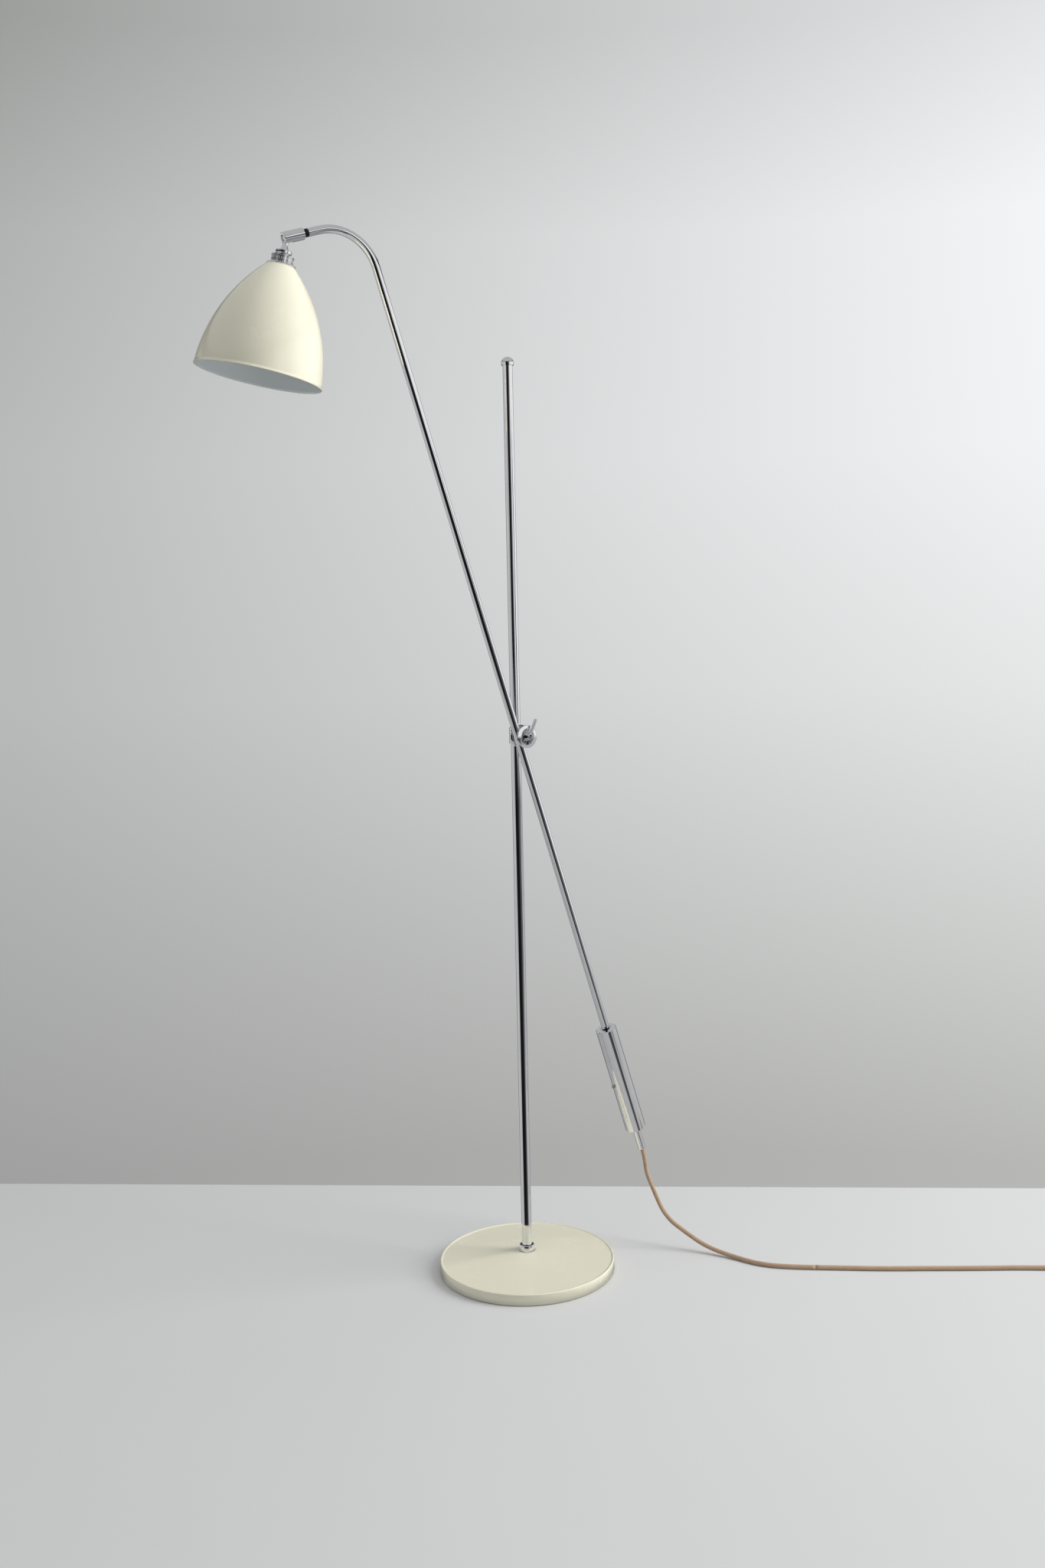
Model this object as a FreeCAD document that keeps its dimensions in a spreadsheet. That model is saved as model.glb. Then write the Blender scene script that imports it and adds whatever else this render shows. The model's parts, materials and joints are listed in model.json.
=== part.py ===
"""Adjustable arm floor lamp: a round weighted base, a pole, a sleeve with a two-disc clamp that
slides on it, a counterweighted bent arm held by that clamp, and a bell shade on a ball knuckle.

Millimetres. Origin: the middle of the base's underside, on the pole's axis. +Z up, the arm's plane
is parallel to XZ with the shade towards -X, and the clamp's screw points towards -Y."""

import FreeCAD, Part
import math
import os
import Sketcher
from FreeCAD import Placement, Rotation, Vector

doc = FreeCAD.newDocument("ArmFloorLamp")
sheet = doc.addObject("Spreadsheet::Sheet", "Sizes")

SIZES = {
    # base
    "base_radius": 140.0, "base_side": 18.0, "base_crown": 29.0, "crown_radius": 16.0,
    "lip_width": 3.6, "lip_drop": 1.5, "lip_round": 1.4, "cover_wall": 1.6, "cover_lift": 1.2,
    "pad_margin": 7.0, "pad_height": 2.0, "plate_height": 2.5, "plate_gap": 0.3,
    "weight_margin": 14.0, "weight_height": 10.5,
    "plate_screw_radius": 2.5, "plate_screw_head": 4.5, "plate_screw_sink": 1.5,
    "plate_screw_long": 9.0, "plate_screw_circle": 70.0, "plate_screw_play": 0.2,
    # pole and its turning foot
    "pole_radius": 8.0, "pole_wall": 1.5, "pole_top": 1460.0, "spigot_radius": 6.0,
    "spigot_plug": 24.0, "bush_wall": 3.0, "bush_flange": 11.0, "bush_flange_high": 1.4,
    "run_play": 0.05, "face_gap": 0.3, "foot_washer_radius": 8.4, "foot_washer_high": 1.2,
    "foot_head_radius": 4.2, "foot_head_high": 2.8, "foot_screw_radius": 2.5,
    "foot_screw_long": 12.0, "foot_recess": 5.0, "foot_recess_radius": 10.0,
    "collar_radius": 12.25, "collar_high": 9.5, "collar_play": 0.2, "collar_bulge": 0.5,
    "collar_round": 1.3,
    "cap_radius": 10.2, "cap_skirt": 3.4, "cap_cover": 6.0,
    # sleeve and clamp, measured out along the clamp's screw from the pole's axis
    "clamp_height": 857.5, "sleeve_wall": 1.4, "sleeve_high": 26.0, "liner_wall": 0.9,
    "slide_play": 0.1, "boss_radius": 9.5, "disc_radius": 18.35, "disc_edge": 0.8,
    "plate_seat": 0.1, "plate_thick": 4.7, "friction_radius": 15.5, "friction_thick": 0.8,
    "saddle_thick": 3.85, "arm_offset": 10.7, "saddle_radius": 15.5, "groove_depth": 1.9,
    "rim_past_arm": 8.4, "cap_rim_thick": 2.2, "cap_dome": 1.2,
    "clamp_screw_radius": 3.0, "clamp_play": 0.35, "pad_thick": 1.5,
    "spacer_radius": 3.5, "hub_radius": 4.8, "hub_high": 8.9, "hub_round": 1.2,
    "hub_flange": 6.4, "hub_flange_high": 1.3, "hub_flange_edge": 0.4, "hub_wall": 2.6,
    "lever_radius": 2.5, "lever_reach": 31.0, "lever_angle": 25.8, "lever_up_hub": 4.6,
    # arm, measured along itself from the clamp
    "arm_tilt": 17.85, "arm_radius": 6.35, "arm_wall": 1.0, "arm_below": 734.0,
    "arm_above": 764.0, "bend_radius": 73.0, "arm_end": 21.4,
    "lip_high": 3.5, "gland_long": 16.0, "gland_play": 0.2, "gland_round": 1.3, "gland_mouth": 0.8,
    "flex_radius": 3.5,
    "weight_bar_radius": 17.0, "weight_bar_long": 183.0, "weight_bar_place": 694.5,
    "weight_bar_play": 0.08, "weight_bar_edge": 0.9, "weight_recess": 3.0,
    "weight_recess_radius": 9.0, "set_screw_radius": 3.0, "set_screw_place": 610.0,
    "set_screw_stand": 2.6, "set_slot_wide": 1.0, "set_slot_deep": 1.2, "set_screw_play": 0.05,
    # knuckle, measured from the ball's centre
    "knuckle_wall": 2.3, "knuckle_in": 26.9, "knuckle_past_ball": 0.6, "knuckle_edge": 0.7,
    "ferrule_radius": 6.35, "ferrule_long": 7.2, "nipple_plug": 14.0, "nipple_radius": 5.3,
    "nipple_spigot": 8.0, "nipple_clear": 1.0, "ferrule_edge": 0.4, "wire_bore": 2.4,
    "ball_radius": 6.5, "ball_play": 0.2, "mouth_lip": 2.3, "mouth_bevel": 1.6,
    "mouth_grip": 1.4, "stem_radius": 3.9, "stem_play": 0.35,
    "slot_back": 5.6, "slot_rise": 3.3, "seat_thick": 3.0, "seat_inner": 3.5,
    "clip_thick": 1.0, "clip_radius": 6.3, "clip_bite": 1.5, "spring_thick": 0.9, "spring_inner": 3.4,
    # lamp head, measured down its own axis from the ball's centre
    "head_roll": -6.1, "head_angle": 60.7, "flare_start": 12.4, "flare_radius": 6.6,
    "dome_start": 20.1, "dome_radius": 12.0, "dome_high": 5.5, "dome_round": 1.6, "dome_edge": 0.8,
    "neck_radius": 9.0, "stem_thread": 5.0,
    "ring_start": 28.4, "ring_high": 12.3, "ring_radius": 16.2, "ring_lip": 0.7,
    "ring_lip_high": 1.3, "ring_edge": 0.4, "ring_slope": 0.5, "flange_radius": 21.35, "flange_high": 2.6,
    "holder_radius": 15.0, "holder_wall": 1.4, "holder_floor": 48.4, "holder_end": 76.4,
    "shade_long": 166.5, "shade_top_radius": 21.3, "shade_middle_radius": 76.2,
    "shade_rim_radius": 94.4, "shade_wall": 1.2, "shade_bead": 0.8,
    "nut_radius": 19.0, "nut_high": 4.0, "cap_shell_radius": 13.2, "cap_shoulder": 3.0,
    "tip_radius": 4.5, "tip_high": 2.5, "tip_slope": 1.0, "contact_radius": 3.0, "contact_high": 1.4,
    "bulb_radius": 27.5, "bulb_long": 75.0, "bulb_neck": 13.0, "bulb_wall": 0.8,
    # lead: in-line switch, coil and plug where it is put away
    "coil_radius": 36.0, "coil_wide": 28.0, "coil_high": 14.0, "lead_gap": 0.6,
    "tie_wide": 9.0, "tie_thick": 0.9, "switch_long": 62.0, "switch_wide": 27.0,
    "switch_high": 15.0, "switch_round": 4.0, "switch_entry": 5.5, "button_long": 16.0,
    "button_wide": 11.0, "button_stand": 2.4, "button_sink": 6.0, "button_play": 0.3,
    "button_edge": 1.0, "relief_long": 22.0, "relief_small": 4.4, "relief_large": 6.0,
    "plug_long": 34.0, "plug_taper": 18.7, "plug_wide": 33.0, "plug_nose": 15.0, "plug_high": 13.5,
    "plug_round": 2.5, "pin_radius": 2.0, "pin_long": 19.0, "pin_spread": 9.3,
}


class Size:
    """A number that keeps the spreadsheet formula it comes from, so that features can be bound to it."""

    def __init__(self, value, text=None):
        self.value = float(value)
        self.text = text or repr(float(value))

    def _with(self, other, value, sign, first=False):
        other = as_size(other)
        left, right = (other, self) if first else (self, other)
        return Size(value(left.value, right.value), f"({left.text} {sign} {right.text})")

    def __add__(self, other):
        return self._with(other, lambda a, b: a + b, "+")

    def __radd__(self, other):
        return self._with(other, lambda a, b: a + b, "+", True)

    def __sub__(self, other):
        return self._with(other, lambda a, b: a - b, "-")

    def __rsub__(self, other):
        return self._with(other, lambda a, b: a - b, "-", True)

    def __mul__(self, other):
        return self._with(other, lambda a, b: a * b, "*")

    def __rmul__(self, other):
        return self._with(other, lambda a, b: a * b, "*", True)

    def __truediv__(self, other):
        return self._with(other, lambda a, b: a / b, "/")

    def __neg__(self):
        return Size(0) - self


def as_size(number):
    return number if isinstance(number, Size) else Size(number)


def root(number):
    return Size(math.sqrt(number.value), f"sqrt({number.text})")


class Sizes:
    """The sheet's sizes by name, as Size values."""

    def __getattr__(self, alias):
        return Size(sheet.get(alias), f"Sizes.{alias}")


def fill_sheet():
    for row, (alias, value) in enumerate(SIZES.items(), start=1):
        sheet.set(f"A{row}", alias)
        sheet.set(f"B{row}", repr(value))
        sheet.setAlias(f"B{row}", alias)
    doc.recompute()


fill_sheet()
S = Sizes()

# ---- places along the clamp's screw, out from the pole's axis ----

LINER_RADIUS = S.pole_radius + S.slide_play + S.liner_wall
SLEEVE_RADIUS = LINER_RADIUS + S.sleeve_wall
PLATE_START = SLEEVE_RADIUS + S.plate_seat
FRICTION_START = PLATE_START + S.plate_thick
REAR_START = FRICTION_START + S.friction_thick + S.face_gap
ARM_STANDOFF = REAR_START + S.saddle_thick - S.groove_depth + S.arm_radius
CAP_START = ARM_STANDOFF + S.arm_radius - S.groove_depth
RIM_START = ARM_STANDOFF + S.rim_past_arm
CAP_END = RIM_START + S.cap_rim_thick + S.cap_dome
HUB_START = CAP_END + S.face_gap
LEVER_PLACE = HUB_START + S.lever_up_hub


# ---- frames: where each group of sub-parts is built ----

def frame_at(x, y, z, rotation=None):
    return Placement(Vector(x, y, z), rotation or Rotation())


X_AXIS = Vector(1, 0, 0)
Y_AXIS = Vector(0, 1, 0)
Z_AXIS = Vector(0, 0, 1)
QUARTER = 90.0
# how far along a quarter round its middle lies, and how far in from the corner
HALF_ROOT = math.sqrt(0.5)
ROUND_IN = 1 - HALF_ROOT
STAND = Placement()
# the clamp's screw is this frame's Z, its X is the lamp's X and its Y points up
CLAMP = frame_at(0, 0, S.clamp_height.value, Rotation(X_AXIS, QUARTER))
# the same, turned with the arm: its Y runs up the arm
CLAMP_ARM = CLAMP * frame_at(0, 0, 0, Rotation(Z_AXIS, S.arm_tilt.value))
# the arm runs along Z; the bend at its top turns it towards -X
ARM = frame_at(0, -ARM_STANDOFF.value, S.clamp_height.value, Rotation(-Y_AXIS, S.arm_tilt.value))
# from the bend's corner to the ball's centre
BALL_OUT = S.bend_radius + S.arm_end + S.ferrule_long + S.face_gap + S.knuckle_in
KNUCKLE = ARM * frame_at(-(S.arm_offset + BALL_OUT).value, 0, (S.arm_above + S.bend_radius).value,
                         Rotation(Y_AXIS, -QUARTER) * Rotation(Z_AXIS, S.head_roll.value))
HEAD = KNUCKLE * frame_at(0, 0, 0, Rotation(Y_AXIS, -S.head_angle.value))


# ---- tools for making sub-parts ----

def bind(thing, **sizes):
    for name, number in sizes.items():
        number = as_size(number)
        setattr(thing, name, number.value)
        thing.setExpression(name, number.text)
    return thing


def shift(thing, x=0, y=0, z=0, rotation=None):
    """Places a primitive in its group's frame; the offsets stay bound to the sheet."""
    thing.Placement = frame_at(0, 0, 0, rotation)
    for name, number in (("x", x), ("y", y), ("z", z)):
        thing.setExpression(f"Placement.Base.{name}", as_size(number).text)
    return thing


def rod(radius, high, x=0, y=0, z=0, rotation=None, name="Rod"):
    thing = doc.addObject("Part::Cylinder", name)
    return shift(bind(thing, Radius=radius, Height=high), x, y, z, rotation)


def block(long, wide, high, x=0, y=0, z=0, rotation=None):
    thing = doc.addObject("Part::Box", "Block")
    return shift(bind(thing, Length=long, Width=wide, Height=high), x, y, z, rotation)


def cut(base, *tools):
    for tool in tools:
        joined = doc.addObject("Part::Cut", "Cut")
        joined.Base, joined.Tool = base, tool
        base = joined
    return base


def fuse(*things):
    joined = doc.addObject("Part::MultiFuse", "Fuse")
    joined.Shapes = list(things)
    joined.Refine = True
    return joined


def group(*things):
    together = doc.addObject("Part::Compound", "Group")
    together.Links = list(things)
    return together


SUBPARTS = []


def subpart(label, thing, frame=STAND):
    """Names a finished sub-part and puts it where its group is."""
    thing.Label = label
    thing.Placement = frame
    SUBPARTS.append(thing)
    return thing


def plane_of(body, role):
    return next(f for f in body.Origin.OriginFeatures if f.Role == role)


def sketch_on(body, role, name="Sketch"):
    sketch = body.newObject("Sketcher::SketchObject", name)
    sketch.AttachmentSupport = [(plane_of(body, role), "")]
    sketch.MapMode = "FlatFace"
    return sketch


def pin_point(sketch, curve, end, x, y):
    """Holds a curve's end at bound distances from the sketch's origin."""
    for kind, axis, number in (("DistanceX", -2, x), ("DistanceY", -1, y)):
        number = as_size(number)
        if number.value == 0:
            sketch.addConstraint(Sketcher.Constraint("PointOnObject", curve, end, axis))
        else:
            held = sketch.addConstraint(
                Sketcher.Constraint(kind, -1, 1, curve, end, number.value))
            sketch.setExpression(f"Constraints[{held}]", number.text)


def draw(sketch, outline):
    """A closed outline of (x, y) corners; (x, y, "via") between two corners makes an arc through it."""
    corners = [p for p in outline if len(p) == 2]
    vias = {sum(len(q) == 2 for q in outline[:i]) - 1: p
            for i, p in enumerate(outline) if len(p) == 3}

    def flat(p):
        return Vector(as_size(p[0]).value, as_size(p[1]).value, 0)

    ends = []
    for i, corner in enumerate(corners):
        start, stop = flat(corner), flat(corners[(i + 1) % len(corners)])
        if i in vias:
            sketch.addGeometry(Part.Arc(start, flat(vias[i]), stop), False)
            swapped = (sketch.getPoint(i, 1) - start).Length > (sketch.getPoint(i, 2) - start).Length
            ends.append((2, 1) if swapped else (1, 2))
        else:
            sketch.addGeometry(Part.LineSegment(start, stop), False)
            ends.append((1, 2))
    for i, corner in enumerate(corners):
        after = (i + 1) % len(corners)
        sketch.addConstraint(Sketcher.Constraint("Coincident", i, ends[i][1], after, ends[after][0]))
        pin_point(sketch, i, ends[i][0], *corner)
    for i, via in vias.items():
        point = sketch.addGeometry(Part.Point(flat(via)), True)
        pin_point(sketch, point, 1, *via[:2])
        sketch.addConstraint(Sketcher.Constraint("PointOnObject", point, 1, i))


def revolved(name, outline):
    """A body turned about Z from its half outline, as (radius, height) corners."""
    body = doc.addObject("PartDesign::Body", name)
    sketch = sketch_on(body, "XZ_Plane")
    draw(sketch, outline)
    turn = body.newObject("PartDesign::Revolution", "Turn")
    turn.Profile = sketch
    turn.ReferenceAxis = (sketch, ["V_Axis"])
    turn.Angle = 360.0
    sketch.Visibility = False
    return body


def turned(label, outline, frame=STAND):
    return subpart(label, revolved(label, outline), frame)


def washer(label, outer, inner, start, thick, frame=STAND):
    return turned(label, [(inner, start), (outer, start), (outer, start + thick),
                          (inner, start + thick)], frame)


def padded_outline(label, outline, high, frame=STAND):
    """A flat-bottomed piece: an outline on XY raised by its height."""
    body = doc.addObject("PartDesign::Body", label)
    sketch = sketch_on(body, "XY_Plane")
    draw(sketch, outline)
    pad = body.newObject("PartDesign::Pad", "Pad")
    pad.Profile = sketch
    bind(pad, Length=high)
    doc.recompute()
    return subpart(label, body, frame)


def corner_arc(before, at, after, share=0.45):
    """The arc that rounds one corner of a route: its two ends and its middle."""
    back, ahead = before - at, after - at
    half = (math.pi - back.getAngle(ahead)) / 2
    radius = share * min(back.Length, ahead.Length) / math.tan(half)
    reach = radius * math.tan(half)
    start = at + back.normalize() * reach
    stop = at + ahead.normalize() * reach
    inward = (back + ahead).normalize()
    middle = at + inward * (radius / math.cos(half) - radius)
    return start, middle, stop, radius


def route_wire(points):
    """Straight runs joined by tangent arcs, each as large as its two runs allow."""
    edges, place, radii = [], points[0], []
    for before, at, after in zip(points, points[1:], points[2:]):
        start, middle, stop, radius = corner_arc(before, at, after)
        edges += [Part.LineSegment(place, start).toShape(), Part.Arc(start, middle, stop).toShape()]
        place = stop
        radii.append(radius)
    edges.append(Part.LineSegment(place, points[-1]).toShape())
    return Part.Wire(edges), radii


SWEEP_TOLERANCE = 0.002


def swept(wire, radius):
    start = wire.Edges[0]
    ring = Part.Wire(Part.makeCircle(radius, start.valueAt(start.FirstParameter),
                                     start.tangentAt(start.FirstParameter)))
    solid = wire.makePipeShell([ring], True, False)
    wanted = math.pi * radius ** 2 * wire.Length
    if abs(solid.Volume - wanted) > SWEEP_TOLERANCE * wanted:
        raise RuntimeError(f"sweep holds {solid.Volume:.1f} mm3 and should hold {wanted:.1f}")
    return solid


def shaped(label, shape, frame=STAND):
    thing = doc.addObject("Part::Feature", label)
    thing.Shape = shape
    return subpart(label, thing, frame)


# ---- base ----

PLATE_TOP = S.pad_height + S.plate_height
WEIGHT_TOP = PLATE_TOP + S.weight_height
SCREW_COUNT = 3


def screw_spots(thing_at):
    """One copy of a piece at each of the plate's screws."""
    turns = [i * 2 * math.pi / SCREW_COUNT for i in range(SCREW_COUNT)]
    return [thing_at(S.plate_screw_circle * math.cos(a), S.plate_screw_circle * math.sin(a))
            for a in turns]


def make_base():
    wall, lip = S.cover_wall, S.base_side - S.lip_drop
    inner_lip = S.base_radius - S.lip_width
    bush = S.spigot_radius + S.run_play + S.bush_wall
    washer("foot_pad", S.base_radius - S.pad_margin, 0, 0, S.pad_height)
    plate_hole = S.plate_screw_radius + S.plate_screw_play
    head_hole = S.plate_screw_head + S.plate_screw_play
    subpart("bottom_plate", cut(
        rod(S.base_radius - wall - S.plate_gap, S.plate_height, z=S.pad_height),
        *screw_spots(lambda x, y: rod(plate_hole, S.plate_height, x, y, S.pad_height)),
        *screw_spots(lambda x, y: rod(head_hole, S.plate_screw_sink, x, y, S.pad_height))))
    subpart("plate_screws", group(*screw_spots(lambda x, y: fuse(
        rod(S.plate_screw_head, S.plate_screw_sink, x, y, S.pad_height),
        rod(S.plate_screw_radius, S.plate_screw_long, x, y, S.pad_height)))))
    subpart("base_weight", cut(
        rod(S.base_radius - S.weight_margin, S.weight_height, z=PLATE_TOP),
        rod(bush, S.weight_height, z=PLATE_TOP),
        rod(S.foot_recess_radius, S.foot_recess, z=PLATE_TOP),
        *screw_spots(lambda x, y: rod(S.plate_screw_radius, S.plate_screw_long, x, y, S.pad_height))))
    turned("base_cover", [
        (S.base_radius, S.cover_lift), (S.base_radius, S.base_side - S.lip_round),
        (S.base_radius - S.lip_round * ROUND_IN, S.base_side - S.lip_round * ROUND_IN, "via"),
        (S.base_radius - S.lip_round, S.base_side), (inner_lip + S.lip_round, S.base_side),
        (inner_lip + S.lip_round * ROUND_IN, S.base_side - S.lip_round * ROUND_IN, "via"),
        (inner_lip, lip), (S.crown_radius, S.base_crown), (bush, S.base_crown),
        (bush, S.base_crown - wall), (S.crown_radius, S.base_crown - wall),
        (inner_lip, lip - wall), (S.base_radius - wall, lip - wall),
        (S.base_radius - wall, S.cover_lift)])
    bore = S.spigot_radius + S.run_play
    flange_top = S.base_crown + S.bush_flange_high
    turned("foot_bush", [
        (bore, PLATE_TOP + S.foot_recess), (bush, PLATE_TOP + S.foot_recess), (bush, S.base_crown),
        (S.bush_flange, S.base_crown), (S.bush_flange, flange_top), (bore, flange_top)])
    hole, shoulder = S.pole_radius + S.collar_play, flange_top + S.face_gap
    top = S.base_crown + S.collar_high
    middle = S.base_crown + S.collar_high / 2
    waist, rounding = S.collar_radius - S.collar_bulge, S.collar_round
    turned("pole_collar", [
        (S.bush_flange + S.collar_play, S.base_crown), (waist, S.base_crown),
        (S.collar_radius, middle, "via"), (waist, top - rounding),
        (waist - rounding * ROUND_IN, top - rounding * ROUND_IN, "via"), (waist - rounding, top),
        (hole, top), (hole, shoulder), (S.bush_flange + S.collar_play, shoulder)])


# ---- pole: it turns in the base's bush ----

POLE_START = S.base_crown + S.bush_flange_high + S.face_gap
SPIGOT_END = PLATE_TOP + S.foot_recess - S.face_gap


def make_pole():
    bore = S.pole_radius - S.pole_wall
    washer("pole_tube", S.pole_radius, bore, POLE_START, S.pole_top - POLE_START)
    thread = SPIGOT_END + S.foot_screw_long
    turned("pole_spigot", [
        (S.foot_screw_radius, SPIGOT_END), (S.spigot_radius, SPIGOT_END),
        (S.spigot_radius, POLE_START), (bore, POLE_START), (bore, POLE_START + S.spigot_plug),
        (0, POLE_START + S.spigot_plug), (0, thread), (S.foot_screw_radius, thread)])
    low = SPIGOT_END - S.foot_washer_high
    washer("foot_washer", S.foot_washer_radius, S.foot_screw_radius, low, S.foot_washer_high)
    turned("foot_screw", [
        (0, low - S.foot_head_high), (S.foot_head_radius, low - S.foot_head_high),
        (S.foot_head_radius, low), (S.foot_screw_radius, low), (S.foot_screw_radius, thread),
        (0, thread)])
    skirt = S.pole_top - S.cap_cover
    spring = skirt + S.cap_skirt
    turned("pole_cap", [
        (S.pole_radius, skirt), (S.cap_radius, skirt), (S.cap_radius, spring),
        (S.cap_radius * HALF_ROOT, spring + S.cap_radius * HALF_ROOT, "via"), (0, spring + S.cap_radius),
        (0, S.pole_top), (S.pole_radius, S.pole_top)])


# ---- sleeve and clamp ----

THREAD = S.clamp_screw_radius + S.run_play
# where the cap's shallow dome passes: this share of its radius, at this share of its rise
DOME_OUT, DOME_RISE = 0.6, 0.72


def make_carriage():
    upright = Rotation(X_AXIS, -QUARTER)
    half = S.sleeve_high / 2

    def column(radius):
        return rod(radius, S.sleeve_high, y=-half, rotation=upright)

    def crosshole(radius):
        return rod(radius, PLATE_START)

    subpart("pole_sleeve", cut(
        fuse(column(SLEEVE_RADIUS), rod(S.boss_radius, PLATE_START)),
        column(LINER_RADIUS), crosshole(THREAD)), CLAMP)
    subpart("sleeve_liner", cut(
        column(LINER_RADIUS), column(S.pole_radius + S.slide_play), crosshole(THREAD)), CLAMP)
    plate_end = FRICTION_START
    turned("clamp_plate", [
        (THREAD, PLATE_START), (S.disc_radius - S.disc_edge, PLATE_START),
        (S.disc_radius, PLATE_START + S.disc_edge), (S.disc_radius, plate_end - S.disc_edge),
        (S.disc_radius - S.disc_edge, plate_end), (THREAD, plate_end)], CLAMP)
    loose = S.clamp_screw_radius + S.clamp_play
    washer("friction_ring", S.friction_radius, loose, FRICTION_START, S.friction_thick, CLAMP)
    washer("pressure_pad", S.clamp_screw_radius - S.run_play, 0,
           S.pole_radius + S.run_play, S.pad_thick, CLAMP)


def make_clamp_cap():
    """The two grooved halves that grip the arm, and the post that keeps them level."""
    loose = S.clamp_screw_radius + S.clamp_play
    along = Rotation(X_AXIS, -QUARTER)

    def arm_groove():
        return rod(S.arm_radius + S.run_play, 2 * S.disc_radius, x=-S.arm_offset, y=-S.disc_radius,
                   z=ARM_STANDOFF, rotation=along)

    saddle = cut(rod(S.saddle_radius, S.saddle_thick, z=REAR_START),
                 rod(loose, S.saddle_thick, z=REAR_START), arm_groove())
    subpart("clamp_saddle", saddle, CLAMP_ARM)
    rim = RIM_START
    rim_end = rim + S.cap_rim_thick
    body = revolved("CapTurning", [
        (loose, CAP_START), (S.saddle_radius, CAP_START), (S.saddle_radius, rim),
        (S.disc_radius - S.disc_edge / 2, rim), (S.disc_radius, rim + S.disc_edge / 2),
        (S.disc_radius, rim_end - S.disc_edge), (S.disc_radius - S.disc_edge, rim_end),
        (S.disc_radius * DOME_OUT, rim_end + S.cap_dome * DOME_RISE, "via"), (S.hub_flange, CAP_END),
        (loose, CAP_END)])
    subpart("clamp_cap", cut(body, arm_groove()), CLAMP_ARM)
    subpart("clamp_spacer", group(rod(
        S.spacer_radius, CAP_START - REAR_START - S.saddle_thick, x=S.arm_offset,
        z=REAR_START + S.saddle_thick)), CLAMP_ARM)


def make_lever():
    start = HUB_START
    end = start + S.hub_high
    screw_end = end - S.hub_wall
    shank = S.clamp_screw_radius
    pad_end = S.pole_radius + S.run_play + S.pad_thick
    washer("clamp_screw", shank, 0, pad_end + S.run_play, screw_end - pad_end - S.run_play, CLAMP)
    flange_end = start + S.hub_flange_high
    body = revolved("HubTurning", [
        (shank, start), (S.hub_flange, start), (S.hub_flange, flange_end - S.hub_flange_edge),
        (S.hub_flange - S.hub_flange_edge, flange_end), (S.hub_radius, flange_end),
        (S.hub_radius, end - S.hub_round),
        (S.hub_radius - S.hub_round * ROUND_IN, end - S.hub_round * ROUND_IN, "via"),
        (S.hub_radius - S.hub_round, end), (0, end), (0, screw_end), (shank, screw_end)])
    lean = Rotation(Z_AXIS, -S.lever_angle.value) * Rotation(X_AXIS, -QUARTER)
    socket = rod(S.lever_radius, S.hub_radius * 2, z=LEVER_PLACE, rotation=lean)
    subpart("lever_hub", cut(body, socket), CLAMP)
    first = shank + S.run_play
    place = CLAMP * frame_at(0, 0, LEVER_PLACE.value, lean)
    tip = S.lever_reach - S.lever_radius
    turned("lever_rod", [
        (0, first), (S.lever_radius, first), (S.lever_radius, tip),
        (S.lever_radius * HALF_ROOT, tip + S.lever_radius * HALF_ROOT, "via"), (0, S.lever_reach)], place)


# ---- arm ----

def arm_line(low, end_reach):
    """The tube's centreline in the arm's frame: up, round the quarter bend, out to its end."""
    x, r = -S.arm_offset.value, S.bend_radius.value
    top = S.arm_above.value
    lean = r * HALF_ROOT
    corner = Vector(x - r + lean, 0, top + lean)
    end = Vector(x - r - end_reach, 0, top + r)
    return Part.Wire([
        Part.LineSegment(Vector(x, 0, -low), Vector(x, 0, top)).toShape(),
        Part.Arc(Vector(x, 0, top), corner, Vector(x - r, 0, top + r)).toShape(),
        Part.LineSegment(Vector(x - r, 0, top + r), end).toShape()])


def make_arm():
    bore = S.arm_radius - S.arm_wall
    line = arm_line((S.arm_below - S.lip_high).value, S.arm_end.value)
    shaped("arm_tube", swept(line, S.arm_radius.value).cut(swept(line, bore.value)), ARM)
    at_low_end = ARM * frame_at(-S.arm_offset.value, 0, -S.arm_below.value)
    inner = S.flex_radius + S.gland_play
    outer, rounding, mouth = S.arm_radius, S.gland_round, S.gland_mouth
    turned("arm_gland", [
        (inner + mouth, 0), (outer - rounding, 0),
        (outer - rounding * ROUND_IN, rounding * ROUND_IN, "via"), (outer, rounding),
        (outer, S.lip_high), (bore - S.run_play, S.lip_high), (bore - S.run_play, S.gland_long),
        (inner, S.gland_long), (inner, mouth), (inner + mouth * ROUND_IN, mouth * ROUND_IN, "via")],
        at_low_end)
    wires = arm_line(S.arm_below.value, S.arm_end.value - S.nipple_plug.value)
    shaped("inner_flex", swept(wires, S.flex_radius.value), ARM)


def make_counterweight():
    place = ARM * frame_at(-S.arm_offset.value, 0, -S.weight_bar_place.value)
    bore = S.arm_radius + S.weight_bar_play
    outer, edge, long = S.weight_bar_radius, S.weight_bar_edge, S.weight_bar_long
    deep, wide = S.weight_recess, S.weight_recess_radius
    body = revolved("BarTurning", [
        (wide, 0), (outer - edge, 0), (outer, edge), (outer, long - edge), (outer - edge, long),
        (wide, long), (wide, long - deep), (bore, long - deep), (bore, deep), (wide, deep)])
    side = Rotation(Y_AXIS, -QUARTER)
    up = S.weight_bar_place - S.set_screw_place
    hole = rod(S.set_screw_radius + S.set_screw_play, outer, z=up, rotation=side)
    subpart("counterweight", cut(body, hole), place)
    tip = bore + S.run_play
    end = outer + S.set_screw_stand
    screw = rod(S.set_screw_radius, end - tip, x=-tip, z=up, rotation=side)
    slot = block(S.set_slot_deep, 2 * S.set_screw_radius, S.set_slot_wide, x=-end,
                 y=-S.set_screw_radius, z=up - S.set_slot_wide / 2)
    subpart("set_screw", cut(screw, slot), place)


# ---- knuckle ----

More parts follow.
